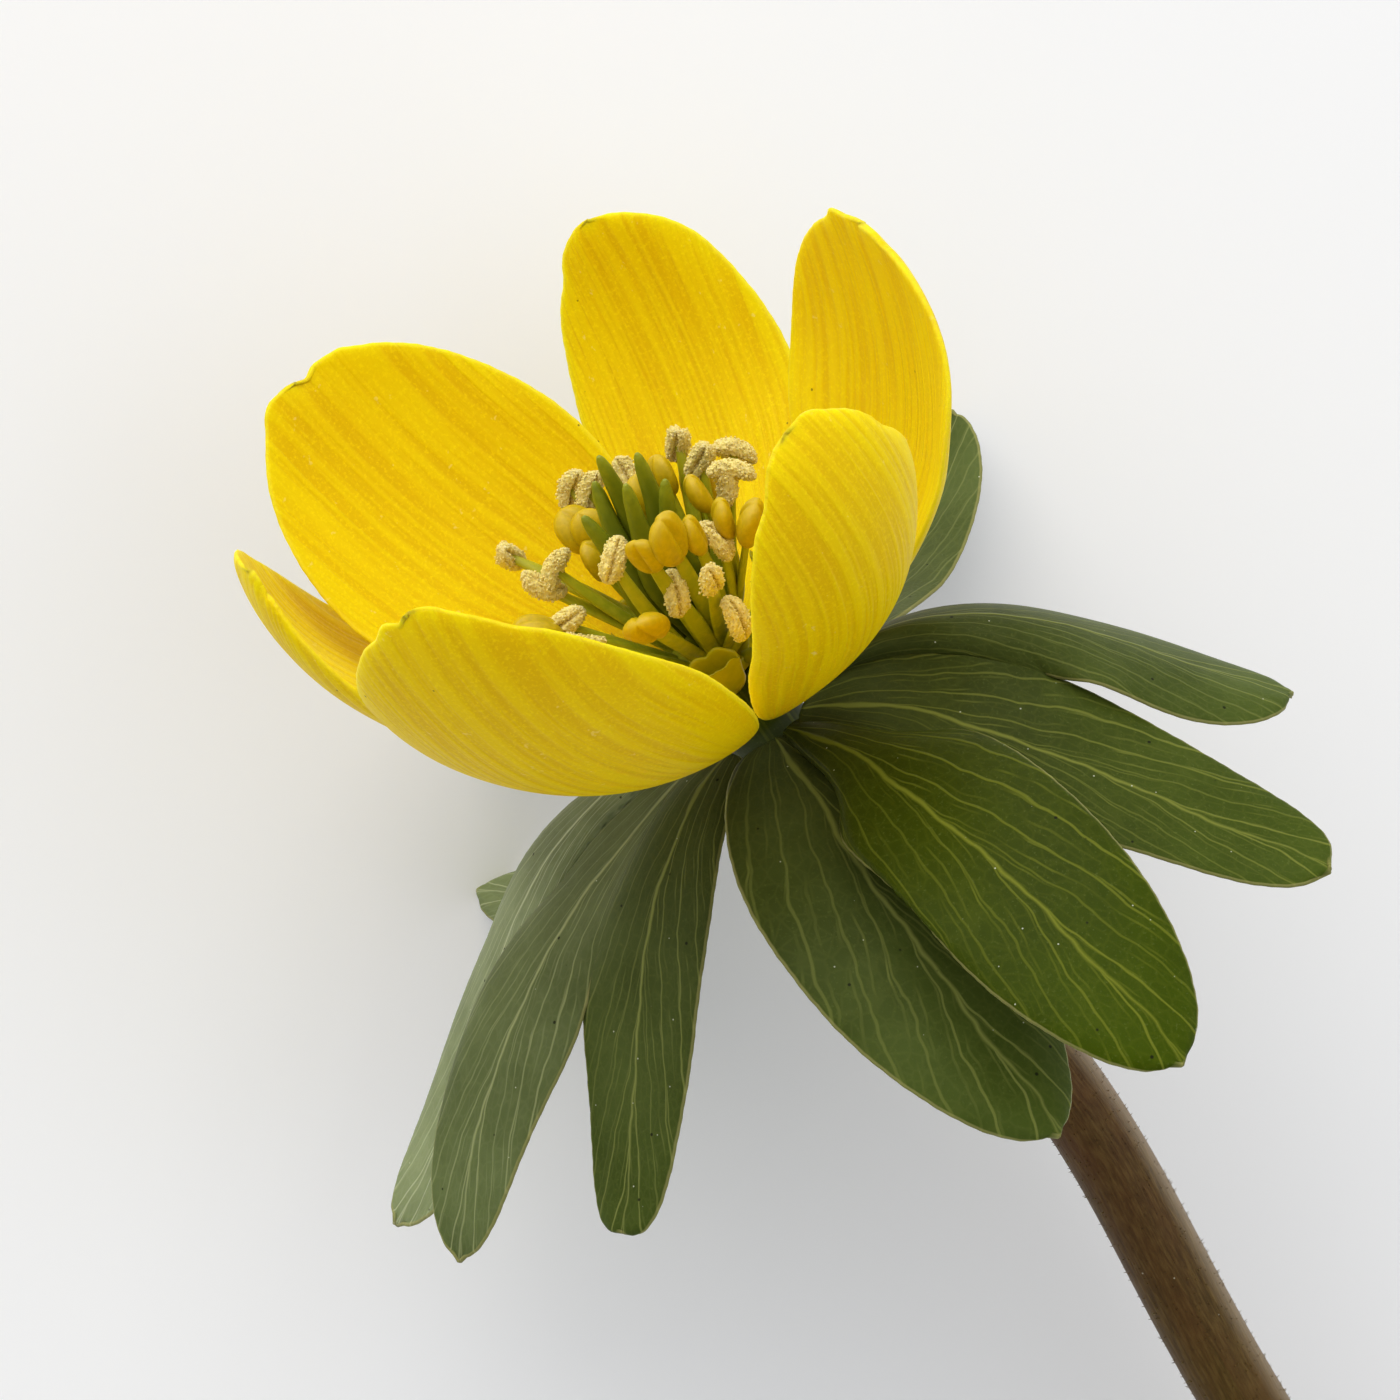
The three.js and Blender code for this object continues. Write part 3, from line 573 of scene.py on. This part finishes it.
# the lobes of each, the share of the way up to which neighbours are joined, and how much wax bloom and
# painted sheen each has
bracts = {
    "bract_1": {"joined": (0.18, 0.18, 0.45), "lobes": [
        dict(at=-92, veer=5, length=19.3, half=4.15, lean=(82, 120.5, 133), roll=(-18, -6),
             hug=(0, -0.04), crest=0.8, round=0.5, skew=-0.06, trim=(0.3, 0), wax=0.12),
        dict(at=-73.5, veer=-10, length=22.3, half=3.7, lean=(75, 108, 134), roll=(1.5, -14),
             hug=(-0.07, -0.03), crest=1.1, round=0.48, skew=0.03,
             bumps=((0, 0.15, 0.2), (-13, 4.5, -0.65))),
        dict(at=-44, veer=-10, length=20, half=3.1, lean=(86, 125.5, 112.5), roll=(4.5, -15.5),
             hug=(-0.08, -0.04), crest=0.7, round=0.37, skew=0.1, wax=0.06),
        dict(at=-17.5, veer=1, length=19.2, half=3.1, lean=(52, 134, 131), roll=(-17, 7),
             hug=(-0.2, -0.12), crest=2, round=0.5, wax=0.12)]},
    "bract_2": {"joined": (0.3, 0.43), "lobes": [
        dict(at=-197.5, veer=22, length=24, half=2.7, lean=(76, 131, 112), roll=(-7.5, 3.5),
             hug=(-0.12, -0.04), crest=1.5, round=0.46, skew=-0.04, trim=(0.7, 0), wax=1.1),
        dict(at=-177.5, veer=24, length=21, half=2.9, lean=(97, 114, 135), roll=(-3.5, 1),
             hug=(-0.08, -0.02), crest=1.1, round=0.48, skew=-0.02, wax=0.45),
        dict(at=-149.5, veer=7, length=18, half=2.6, lean=(80.5, 127, 118), roll=(-7.5, 2),
             hug=(-0.01, -0.02), crest=0.65, round=0.36, skew=-0.03, trim=(0, 0.4), wax=0.15,
             bumps=((0, 0.5, -0.12),))]},
    "bract_3": {"joined": (0.3, 0.3, 0.3), "lobes": [
        dict(at=66, veer=-26, length=22, half=2.95, lean=(121, 110, 66), roll=(1.5, -9),
             crest=1.35, wax=0.25),
        dict(at=90, veer=-4, length=16, half=2.5, lean=(96, 92, 82)),
        dict(at=112, veer=2, length=16, half=2.3, lean=(98, 95, 88)),
        dict(at=134, veer=-4, length=19.4, half=2.2, lean=(106, 128, 80), hug=(-0.08, -0.03),
             trim=(0, 0.7), wax=0.8)]},
}
for name, bract in bracts.items():
    rows, columns = bractForm["rows"], bractForm["columns"]
    grids, halves = [], []
    for lobe in bract["lobes"]:
        grid, t, s, half = bladeGrid({**bractForm["shared"], **lobe}, rows, columns)
        grids.append(grid)
        halves.append(half)
    grids = joinLobes(grids, t, s, bract["joined"])
    waxes = [np.full((rows, columns, 1), lobe.get("wax", 0.0)) for lobe in bract["lobes"]]
    # the wax bloom and its painted sheen too are made even across the seams
    wax = [field.ravel() for field in joinLobes(waxes, t, s, bract["joined"])]
    points, faces, uvs, margin = [], [], [], []
    for i, lobe in enumerate(bract["lobes"]):
        before = bract["joined"][i - 1] if i > 0 else 0
        after = bract["joined"][i] if i < len(bract["joined"]) else 0
        share = np.where(s < 0, before, after)[None, :]
        aside = (1 - np.abs(s))[None, :] * halves[i][:, None]
        inside = (t[:, None] <= share) & (share > 0)
        toNotch = np.hypot(aside, (share - t[:, None]) * lobe["length"])
        edgeWay = np.where(inside, toNotch, aside)
        margin.append(np.minimum(edgeWay, ((1 - t) * lobe["length"])[:, None]).ravel())
        cells = gridFaces(rows, columns)
        uvPoints = bladeMap(t, s, halves[i])
        points.append(grids[i].reshape(-1, 3))
        uvs.append(uvPoints[cells])
        faces.append(cells + i * rows * columns)
    points, faces, uvs, margin, wax = thickened(
        *(np.concatenate(values) for values in (points, faces, uvs, margin, wax)))
    makePiece(name + "_fine", points, faces, [greenBract], [name], "bract", uvs,
              margin=margin, wax=wax)
print("bracts ready")


# ---- tubes
def smoothLine(knots, count):
    # A curve through the knots: cubic pieces whose slopes come from the neighbouring knots,
    # with root-of-distance spacing, sampled at even lengths
    knots = np.asarray(knots, float)
    knots = np.vstack([2 * knots[0] - knots[1], knots, 2 * knots[-1] - knots[-2]])
    fine = np.linspace(0, 1, 60)[:, None]
    parts = []
    for i in range(1, len(knots) - 2):
        p0, p1, p2, p3 = knots[i - 1:i + 3]
        d = [max(np.linalg.norm(b - a) ** 0.5, 1e-4) for a, b in ((p0, p1), (p1, p2), (p2, p3))]
        m1 = (p1 - p0) / d[0] - (p2 - p0) / (d[0] + d[1]) + (p2 - p1) / d[1]
        m2 = (p2 - p1) / d[1] - (p3 - p1) / (d[1] + d[2]) + (p3 - p2) / d[2]
        m1, m2 = m1 * d[1], m2 * d[1]
        parts.append((2 * fine ** 3 - 3 * fine ** 2 + 1) * p1 + (fine ** 3 - 2 * fine ** 2 + fine) * m1
                     + (-2 * fine ** 3 + 3 * fine ** 2) * p2 + (fine ** 3 - fine ** 2) * m2)
    line = np.concatenate(parts)
    way = np.concatenate([[0], np.cumsum(np.linalg.norm(np.diff(line, axis=0), axis=1))])
    even = np.linspace(0, way[-1], count)
    return np.stack([np.interp(even, way, line[:, k]) for k in range(3)], 1)


def tubeSurface(line, wide, flat, sides, facing, along=None):
    # Ellipses square to the line, or to the ways given: the wide half across the facing way times
    # the cosine, less the flat half along it times the sine
    along = unit(np.gradient(line, axis=0)) if along is None else along
    across = unit(np.cross(along, np.asarray(facing, float)))
    outward = np.cross(across, along)
    angle = np.linspace(0, 2 * np.pi, sides, endpoint=False)
    wide, flat = (np.broadcast_to(size, len(line)) for size in (wide, flat))
    rings = line[:, None] + across[:, None] * (wide[:, None] * np.cos(angle))[..., None]
    rings = rings - outward[:, None] * (flat[:, None] * np.sin(angle))[..., None]
    return rings


def closedTube(rings):
    # Quads round the rings as triangles, with a fan to the middle of each end ring
    count, sides = rings.shape[:2]
    points = np.concatenate([rings.reshape(-1, 3), rings[:1].mean(1), rings[-1:].mean(1)])
    j = np.arange(sides)
    k = (j + 1) % sides
    i = np.arange(count - 1)[:, None] * sides
    a, b, c, d = i + j, i + k, i + sides + k, i + sides + j
    walls = np.concatenate([np.stack([a.ravel(), b.ravel(), c.ravel()], 1),
                            np.stack([a.ravel(), c.ravel(), d.ravel()], 1)])
    first, last = np.full(sides, count * sides), np.full(sides, count * sides + 1)
    end = (count - 1) * sides
    caps = np.stack([first, k, j], 1), np.stack([last, end + j, end + k], 1)
    return points, np.concatenate([walls, *caps])


def gathered(shells):
    # Several closed shells as one mesh, with the way along each and its material slot
    starts = np.cumsum([0] + [len(shell[0]) for shell in shells[:-1]])
    points, along = (np.concatenate([shell[k] for shell in shells]) for k in (0, 2))
    faces = np.concatenate([shell[1] + start for shell, start in zip(shells, starts)])
    slots = np.concatenate([np.full(len(shell[1]), shell[3]) for shell in shells])
    return points, faces, along, slots


# ---- stem
# the head is heights and radii of its rings; the small hairs stand between two shares of the way down
stemForm = {"sides": 64, "rings": 320, "top": 1.45, "foot": 1.7,
            "line": [(0, 0, -2), (0.3, -0.6, -8), (1.45, -1.6, -22.7), (0.3, -5.2, -35.6),
                     (-1.55, -14.4, -72.1)],
            "head": [(1.2, 1.25), (1.1, 1.3), (0.45, 1.3), (0.35, 1.55), (-1.9, 1.55)],
            "hairs": 1500, "hairsFrom": 0.12, "hairsOver": 0.5, "hairLength": (0.07, 0.1),
            "hairFoot": (0.03, 0.035), "hairRoot": 0.01, "hairBend": 0.04}
sides, count = stemForm["sides"], stemForm["rings"]
line = smoothLine(stemForm["line"], count)
way = np.linspace(0, 1, count)
radius = stemForm["top"] + (stemForm["foot"] - stemForm["top"]) * way
body = tubeSurface(line, radius, radius, sides, (1, 0, 0))
headLine = np.array([(0, 0, height) for height, r in stemForm["head"]])
headRadius = np.array([r for height, r in stemForm["head"]])
head = tubeSurface(headLine, headRadius, headRadius, sides, (1, 0, 0))
cut = body[-1:].mean(1, keepdims=True)
ends = np.concatenate([cut + (body[-1:] - cut) * 0.97, cut + (body[-1:] - cut) * 0.5])
rings = np.concatenate([head, body, ends])
points, faces = closedTube(rings)
ringUv = np.stack(np.meshgrid(np.linspace(0, 1, sides, endpoint=False),
                              np.linspace(0, 1, len(rings))), -1).reshape(-1, 2)
ringUv = np.concatenate([ringUv, [[0.5, 0], [0.5, 1]]])
uvs = ringUv[faces]
span = uvs[..., 0].max(1) - uvs[..., 0].min(1) > 0.5
uvs[..., 0] = np.where(span[:, None] & (uvs[..., 0] < 0.5), uvs[..., 0] + 1, uvs[..., 0])
hairs = stemForm["hairs"]
lot = np.random.default_rng(11)
down = stemForm["hairsFrom"] + stemForm["hairsOver"] * lot.random(hairs)
ring = (len(head) + down * count).astype(int)
column = lot.integers(0, sides, hairs)
foot, centre = rings[ring, column], rings[ring].mean(1)
out = unit(foot - centre)
wide, high = stemForm["hairFoot"]
aside = unit(rings[ring, (column + 1) % sides] - foot) * wide
below = unit(rings[ring + 1, column] - foot)
least, more = stemForm["hairLength"]
tip = foot + out * (least + more * lot.random(hairs))[:, None] - below * stemForm["hairBend"]
corners = [foot + aside, foot + below * high, foot - aside, tip]
hairPoints = (np.stack(corners, 1) - out[:, None] * stemForm["hairRoot"]).reshape(-1, 3)
hairSides = np.array([[0, 1, 3], [1, 2, 3], [2, 0, 3], [0, 2, 1]])
hairFaces = (hairSides[None] + len(points) + 4 * np.arange(hairs)[:, None, None]).reshape(-1, 3)
hairUvs = np.repeat(ringUv[ring * sides + column], 12, 0).reshape(-1, 3, 2)
points, faces = np.concatenate([points, hairPoints]), np.concatenate([faces, hairFaces])
uvs = np.concatenate([uvs, hairUvs])
# the skin of the head is the bracts' own
slots = (faces.min(1) < len(head) * sides).astype(np.int32)
uvs[slots == 1, :, 1] += 0.35  # where the bracts' green is deepest
makePiece("stem_fine", points, faces, [brownStem, greenBract], ["stem"], "stem", uvs, slots,
          margin=np.ones(len(points)), wax=np.zeros(len(points)))
print("stem ready")


# ---- heart
def around(angle, radius, height):
    return np.array([radius * np.cos(angle), radius * np.sin(angle), height])


def onLine(line, place):
    # Points on the line at shares of its length
    return np.stack([np.interp(place, np.linspace(0, 1, len(line)), line[:, k]) for k in range(3)], 1)


def withWay(rings, slotIndex):
    # A closed tube with the share of the way along it for each of its points
    points, faces = closedTube(rings)
    way = np.concatenate([np.repeat(np.linspace(0, 1, len(rings)), rings.shape[1]), [0, 1]])
    return points, faces, way, slotIndex


def discShell(low, high, radius):
    # A low round cushion: rings whose radius is rounded over at both ends
    turn = np.linspace(-np.pi / 2, np.pi / 2, 9)
    height = (low + high) / 2 + (high - low) / 2 * np.sin(turn)
    reach = radius - 0.1 * (1 - np.cos(turn))
    line = np.stack([0 * height, 0 * height, height], 1)
    return withWay(tubeSurface(line, reach, reach, 32, (1, 0, 0)), 0)


# outside and inside the tube: shares of the way along it, half widths and half depths there
nectaryForm = {"count": 7, "from": -98, "disc": (1.5, 1.95, 1.35), "sides": 36, "rings": (34, 12),
               "path": [(0.9, 1.72), (2.1, 1.95), (3.0, 2.65), (3.4, 3.9)],
               "outside": ([0, 0.25, 0.6, 1], [0.28, 0.4, 0.8, 1.05], [0.2, 0.26, 0.4, 0.5]),
               "inside": ([0.7, 0.98], [0.3, 0.95], [0.14, 0.42])}
shells = [discShell(*nectaryForm["disc"])]
chance = np.random.default_rng(5)
for i in range(nectaryForm["count"]):
    angle = np.radians(nectaryForm["from"] + 360 * i / nectaryForm["count"])
    line = smoothLine([around(angle, r, h) for r, h in nectaryForm["path"]], 61)
    outside, inside = nectaryForm["outside"], nectaryForm["inside"]
    up, down = nectaryForm["rings"]
    place = np.concatenate([np.linspace(0, 1, up), np.linspace(*inside[0][::-1], down)])
    outer = np.arange(len(place)) < up
    wide, flat = (np.where(outer, np.interp(place, outside[0], outside[k]),
                           np.interp(place, inside[0], inside[k])) for k in (1, 2))
    along = onLine(unit(np.gradient(line, axis=0)), place)
    sides, facing = nectaryForm["sides"], around(angle, 1, 0)
    rings = tubeSurface(onLine(line, place), wide, flat, sides, facing, along)
    turn = np.linspace(0, 2 * np.pi, sides, endpoint=False)
    # the mouth is cut into two lips: high at the front and back, low at the sides, and scalloped
    lips = 0.16 * np.abs(np.sin(turn)) ** 0.5 - 0.3 * np.abs(np.cos(turn)) ** 6
    lips = lips + 0.08 * np.cos(7 * turn + 6 * chance.random())
    lips = lips - 0.1 * np.exp(-((np.cos(turn) / 0.12) ** 2))
    rings = rings + along[:, None] * (np.exp(-((1 - place) / 0.18) ** 2)[:, None] * lips)[..., None]
    shells.append(withWay(rings, 0))
points, faces, along, slots = gathered(shells)
makePiece("nectaries_fine", points, faces, [goldNectary], ["nectaries"], "nectaries",
          slots=slots, along=along)

stamenForm = {"disc": (2.4, 2.9, 1.5), "strap": (0.31, 0.13), "open": (0.41, 0.34, 1.7),
              "closed": (0.8, 0.45, 1.9), "more": 10, "seed": 7}
# angle round the axis, lean and reach, then for an open one the angle and lean of its anther, and
# for a closed one how large it is and how far it faces aside
stamensOpen = [
    (135, 48, 7.8, -111, 33), (150, 34, 6.2, 5, 54), (180, 43, 5.6, -21, 77), (-90, 34, 5, 34, 28),
    (-72, 58, 4.8, 45, 17), (-42, 34, 5.5, 112, 24), (5, 39, 6.6, 160, 54), (28, 50, 6.9, 158, 44),
    (45, 39, 7.2, -49, 38), (28, 37, 6.6, -34, 51), (100, 42, 7.5, -17, 41), (95, 39, 6.9, -3, 44),
    (-120, 20, 6.6, 9, 49)]
stamensClosed = [
    (-75, 27, 7.2, 1.1, 25), (-92, 26, 7.1, 0.84, -40), (-57, 28.5, 6.3, 0.82, 35),
    (-32, 34, 5.95, 0.85, 20), (-5, 26, 6, 0.85, 0), (111, 33, 5.7, 0.9, -20),
    (123, 35, 4.9, 0.9, 25), (68, 33, 5.7, 0.85, 40), (55, 35, 6.1, 0.85, -30)]


def drawnNumbers(seed, count):
    # The same run of numbers from 0 to 1 as the solids use: each state times 16807, less whole turns
    state, numbers = seed, []
    for step in range(count):
        state = (state * 16807) % 2147483647
        numbers.append(state / 2147483647)
    return numbers


def antherShell(tip, ahead, facing, form, opened):
    # Two long pollen sacs side by side: an oval whose section is furrowed in the middle of both
    # faces, and for a burst one bowed and roughened by grains of pollen
    wide, flat, length = form
    rows, sides = (38, 46) if opened else (26, 36)
    v = np.sin(np.linspace(-1, 1, rows) * np.pi / 2)
    angle = np.linspace(0, 2 * np.pi, sides, endpoint=False)
    girth = np.sqrt(np.maximum(1 - np.abs(v) ** (3.2 if opened else 2.4), 0.003))[:, None]
    furrow = 1 - (0.6 if opened else 0.4) * np.exp(-((np.cos(angle) / (0.2 if opened else 0.16)) ** 2))
    x = wide * girth * np.cos(angle)
    y = flat * girth * np.sin(angle) * furrow
    if opened:
        lumps = chance.random((rows, sides))
        broad = sum(np.roll(chance.random((rows, sides)), (i, j), (0, 1))
                    for i in (0, 1, 2) for j in (0, 1, 2))
        rough = 1 + 0.26 * (lumps - 0.5) + 0.7 * (broad / 9 - 0.5)
        x, y = x * rough, y * rough
    across = unit(np.cross(ahead, facing))
    outward = np.cross(across, ahead)
    bow = (-0.22 if opened else 0.1) * v ** 2
    rings = tip + ahead * (v * length / 2)[:, None, None] + outward * bow[:, None, None]
    rings = rings + across * x[..., None] - outward * y[..., None]
    shells = [withWay(rings, 1 if opened else 2)]
    if opened:
        points, faces, way, slot = shells[0]
        proud = np.hypot(x / wide, y / flat) / girth  # how far each point stands out of the furrow
        # the sacs are darker the lower a point lies: the brown of the slit in the furrow, and painted shade
        # in the dips between the lumps of pollen
        way = np.concatenate([np.clip((proud.ravel() - 0.45) / 0.6, 0, 1), [0.5, 0.5]])
        shells = [(points, faces, way, slot)]
        spots = rings.reshape(-1, 3)[chance.integers(0, rows * sides, 420)]
        shells.append(pollenGrains(spots, 0.035 + 0.04 * chance.random(420)))
    return shells


def pollenGrains(spots, radii):
    # Clumps of pollen: an eight sided grain at each spot, all in one shell
    corners = np.array([[1, 0, 0], [-1, 0, 0], [0, 1, 0], [0, -1, 0], [0, 0, 1], [0, 0, -1]], float)
    sides = np.array([[0, 2, 4], [2, 1, 4], [1, 3, 4], [3, 0, 4],
                      [2, 0, 5], [1, 2, 5], [3, 1, 5], [0, 3, 5]])
    points = (spots[:, None] + corners[None] * radii[:, None, None]).reshape(-1, 3)
    faces = (sides[None] + 6 * np.arange(len(spots))[:, None, None]).reshape(-1, 3)
    return points, faces, np.full(len(points), 0.85), 1


def stamenShells(place, opened, foot):
    # A strap that bows out along a curve of three points, and its anther on the end
    at, lean, reach, *twist = place
    angle = np.radians(at)
    radius, height = reach * np.sin(np.radians(lean)), foot + reach * np.cos(np.radians(lean))
    t = np.linspace(0, 1, 28)[:, None]
    a = around(angle, 1.15, foot)
    b = around(angle, max(2.7, radius * 0.5 + 0.3), foot + 0.55 * (height - foot))
    c = around(angle, radius, height)
    line = (1 - t) ** 2 * a + 2 * t * (1 - t) * b + t ** 2 * c
    wide, flat = stamenForm["strap"]
    taper = 1 - 0.5 * np.clip((t[:, 0] - 0.55) / 0.45, 0, 1) ** 1.5
    strap = tubeSurface(line, wide * taper, flat + 0 * taper, 14, around(angle, 1, 0))
    ahead, facing = unit(c - b), around(angle, 1, 0)
    form = np.array(stamenForm["open"] if opened else stamenForm["closed"])
    if twist and opened:
        turn, tilt = np.radians(twist)
        ahead = around(turn, np.sin(tilt), np.cos(tilt))
    elif twist:
        form = form * twist[0]
        facing = around(angle + np.radians(twist[1]), 1, 0)
    return [withWay(strap, 0)] + antherShell(c, ahead, facing, form, opened)


shells = [discShell(*stamenForm["disc"])]
foot = stamenForm["disc"][1] - 0.3
for place in stamensOpen:
    shells += stamenShells(place, True, foot)
for place in stamensClosed:
    shells += stamenShells(place, False, foot)
drawn = iter(drawnNumbers(stamenForm["seed"], 3 * stamenForm["more"]))
for i in range(stamenForm["more"]):
    at = -150 + 360 * (i + 0.4 * next(drawn)) / stamenForm["more"]
    shells += stamenShells((at, 36 + 10 * next(drawn), 5.6 + next(drawn)), i % 2 == 0, foot)
points, faces, along, slots = gathered(shells)
makePiece("stamens_fine", points, faces, [strapFilament, openPollen, closedAnther], ["stamens"],
          "stamens", slots=slots, along=along)

# angle of the pod, then angle, distance and height of its beak's tip
carpels = [(-100, -55, 1.27, 10.5), (-40, -22, 2.1, 9.6), (20, 8, 1.7, 10.5), (80, 53, 0.9, 11),
           (140, 94, 1.18, 10), (200, 180, 1.1, 9.8)]
carpelForm = {"disc": (3.2, 3.7, 1), "sides": 24, "rings": 70, "pod": [(0.6, 3.4), (1, 5.2), (1, 7)],
              "place": [0, 0.2, 0.42, 0.6, 0.75, 0.92, 0.98, 1],
              "wide": [0.35, 0.52, 0.6, 0.45, 0.34, 0.25, 0.16, 0.08],
              "flat": [0.35, 0.56, 0.66, 0.5, 0.34, 0.25, 0.16, 0.08]}
shells = [discShell(*carpelForm["disc"])]
for at, turn, radius, height in carpels:
    angle = np.radians(at)
    pod = [around(angle, r, h) for r, h in carpelForm["pod"]]
    tip = around(np.radians(turn), radius, height)
    line = smoothLine(pod + [pod[2] + (tip - pod[2]) * 0.4, tip], carpelForm["rings"])
    way = 1 - (1 - np.linspace(0, 1, carpelForm["rings"])) ** 1.4
    wide = np.interp(way, carpelForm["place"], carpelForm["wide"])
    flat = np.interp(way, carpelForm["place"], carpelForm["flat"])
    rings = tubeSurface(onLine(line, way), wide, flat, carpelForm["sides"], around(angle, 1, 0))
    shells.append(withWay(rings, 0))
points, faces, along, slots = gathered(shells)
makePiece("carpels_fine", points, faces, [greenCarpel], ["carpels"], "carpels",
          slots=slots, along=along)
print("heart ready")

# ---- floor, light and camera
floorMesh = bpy.data.meshes.new("paleFloor")
reach = 2.0
corners = [(x * reach, y * reach, 0) for x, y in ((-1, -1), (1, -1), (1, 1), (-1, 1))]
floorMesh.from_pydata(corners, [], [(0, 1, 2, 3)])
floor = bpy.data.objects.new("paleFloor", floorMesh)
bpy.context.scene.collection.objects.link(floor)
paper, paperTree, paperShader = startMaterial("palePaper", **{
    "Base Color": "#fcfbfa", "Roughness": 0.9, "Specular IOR Level": 0.2})
floorMesh.materials.append(paper)


def placed(axes, spot):
    # The matrix with the axes as its columns and the spot as its place
    matrix = np.eye(4)
    matrix[:3, :3], matrix[:3, 3] = axes, spot
    return Matrix(matrix.tolist())


# in the camera's own frame and in millimetres: where the bloom's origin is, its x, y and z ways,
# the camera's distance, and the width of the picture there
camera = {"middle": (1.607, 0.286, 0), "x": (0.819, 0.574, 0), "y": (-0.313, 0.446, -0.839),
          "z": (-0.481, 0.687, 0.545), "distance": 190.0, "width": 50.0}
toCamera = np.stack([unit(np.array(camera[key])) for key in ("x", "y", "z")])
axes = bloomTurn @ toCamera
spot = laid((toCamera @ (np.array([0, 0, camera["distance"]]) - np.array(camera["middle"])))[None])[0]
lens = bpy.data.cameras.new("photoCamera")
lens.sensor_width = 36.0
lens.lens = lens.sensor_width * camera["distance"] / camera["width"]
lens.clip_start = 0.01
cameraObject = bpy.data.objects.new("photoCamera", lens)
cameraObject.matrix_world = placed(axes, spot)
bpy.context.scene.collection.objects.link(cameraObject)
bpy.context.scene.camera = cameraObject


def softLight(name, place, size, power, colour):
    # A square light in the camera's own frame, in millimetres, turned to the bloom
    light = bpy.data.lights.new(name, "AREA")
    light.size = size
    light.energy = power
    light.color = linear(colour)[:3]
    lamp = bpy.data.objects.new(name, light)
    where = laid((toCamera @ (np.array(place, float) - np.array(camera["middle"])))[None])[0]
    back = unit(where - laid(np.zeros((1, 3)))[0])
    aside = unit(np.cross(np.array([0.0, 1.0, 0.1]), back))
    lamp.matrix_world = placed(np.stack([aside, np.cross(back, aside), back], 1), where)
    bpy.context.scene.collection.objects.link(lamp)


softLight("keyLight", (-150, 380, 200), 0.45, 1.5, "#fffdf8")
softLight("fillLight", (330, -60, 260), 0.45, 0.25, "#f4f7ff")
world = bpy.data.worlds.new("studioAir")
world.use_nodes = True
air = world.node_tree
air.nodes.clear()
way = addNode(air, "TexCoord")
toward = addNode(air, "VectorMath", {0: way, 1: axes[:, 1].tolist()}, operation="DOT_PRODUCT")
glow = addNode(air, "MapRange", {
    "Value": toward.outputs[1], "From Min": -0.7, "From Max": 0.9, "To Min": 0.46, "To Max": 1.25})
backdrop = addNode(air, "Background", {"Color": "#eff1f4", "Strength": glow})
addNode(air, "OutputWorld", {"Surface": backdrop})
bpy.context.scene.world = world
bpy.context.scene.view_settings.view_transform = "Standard"
print("stage ready")
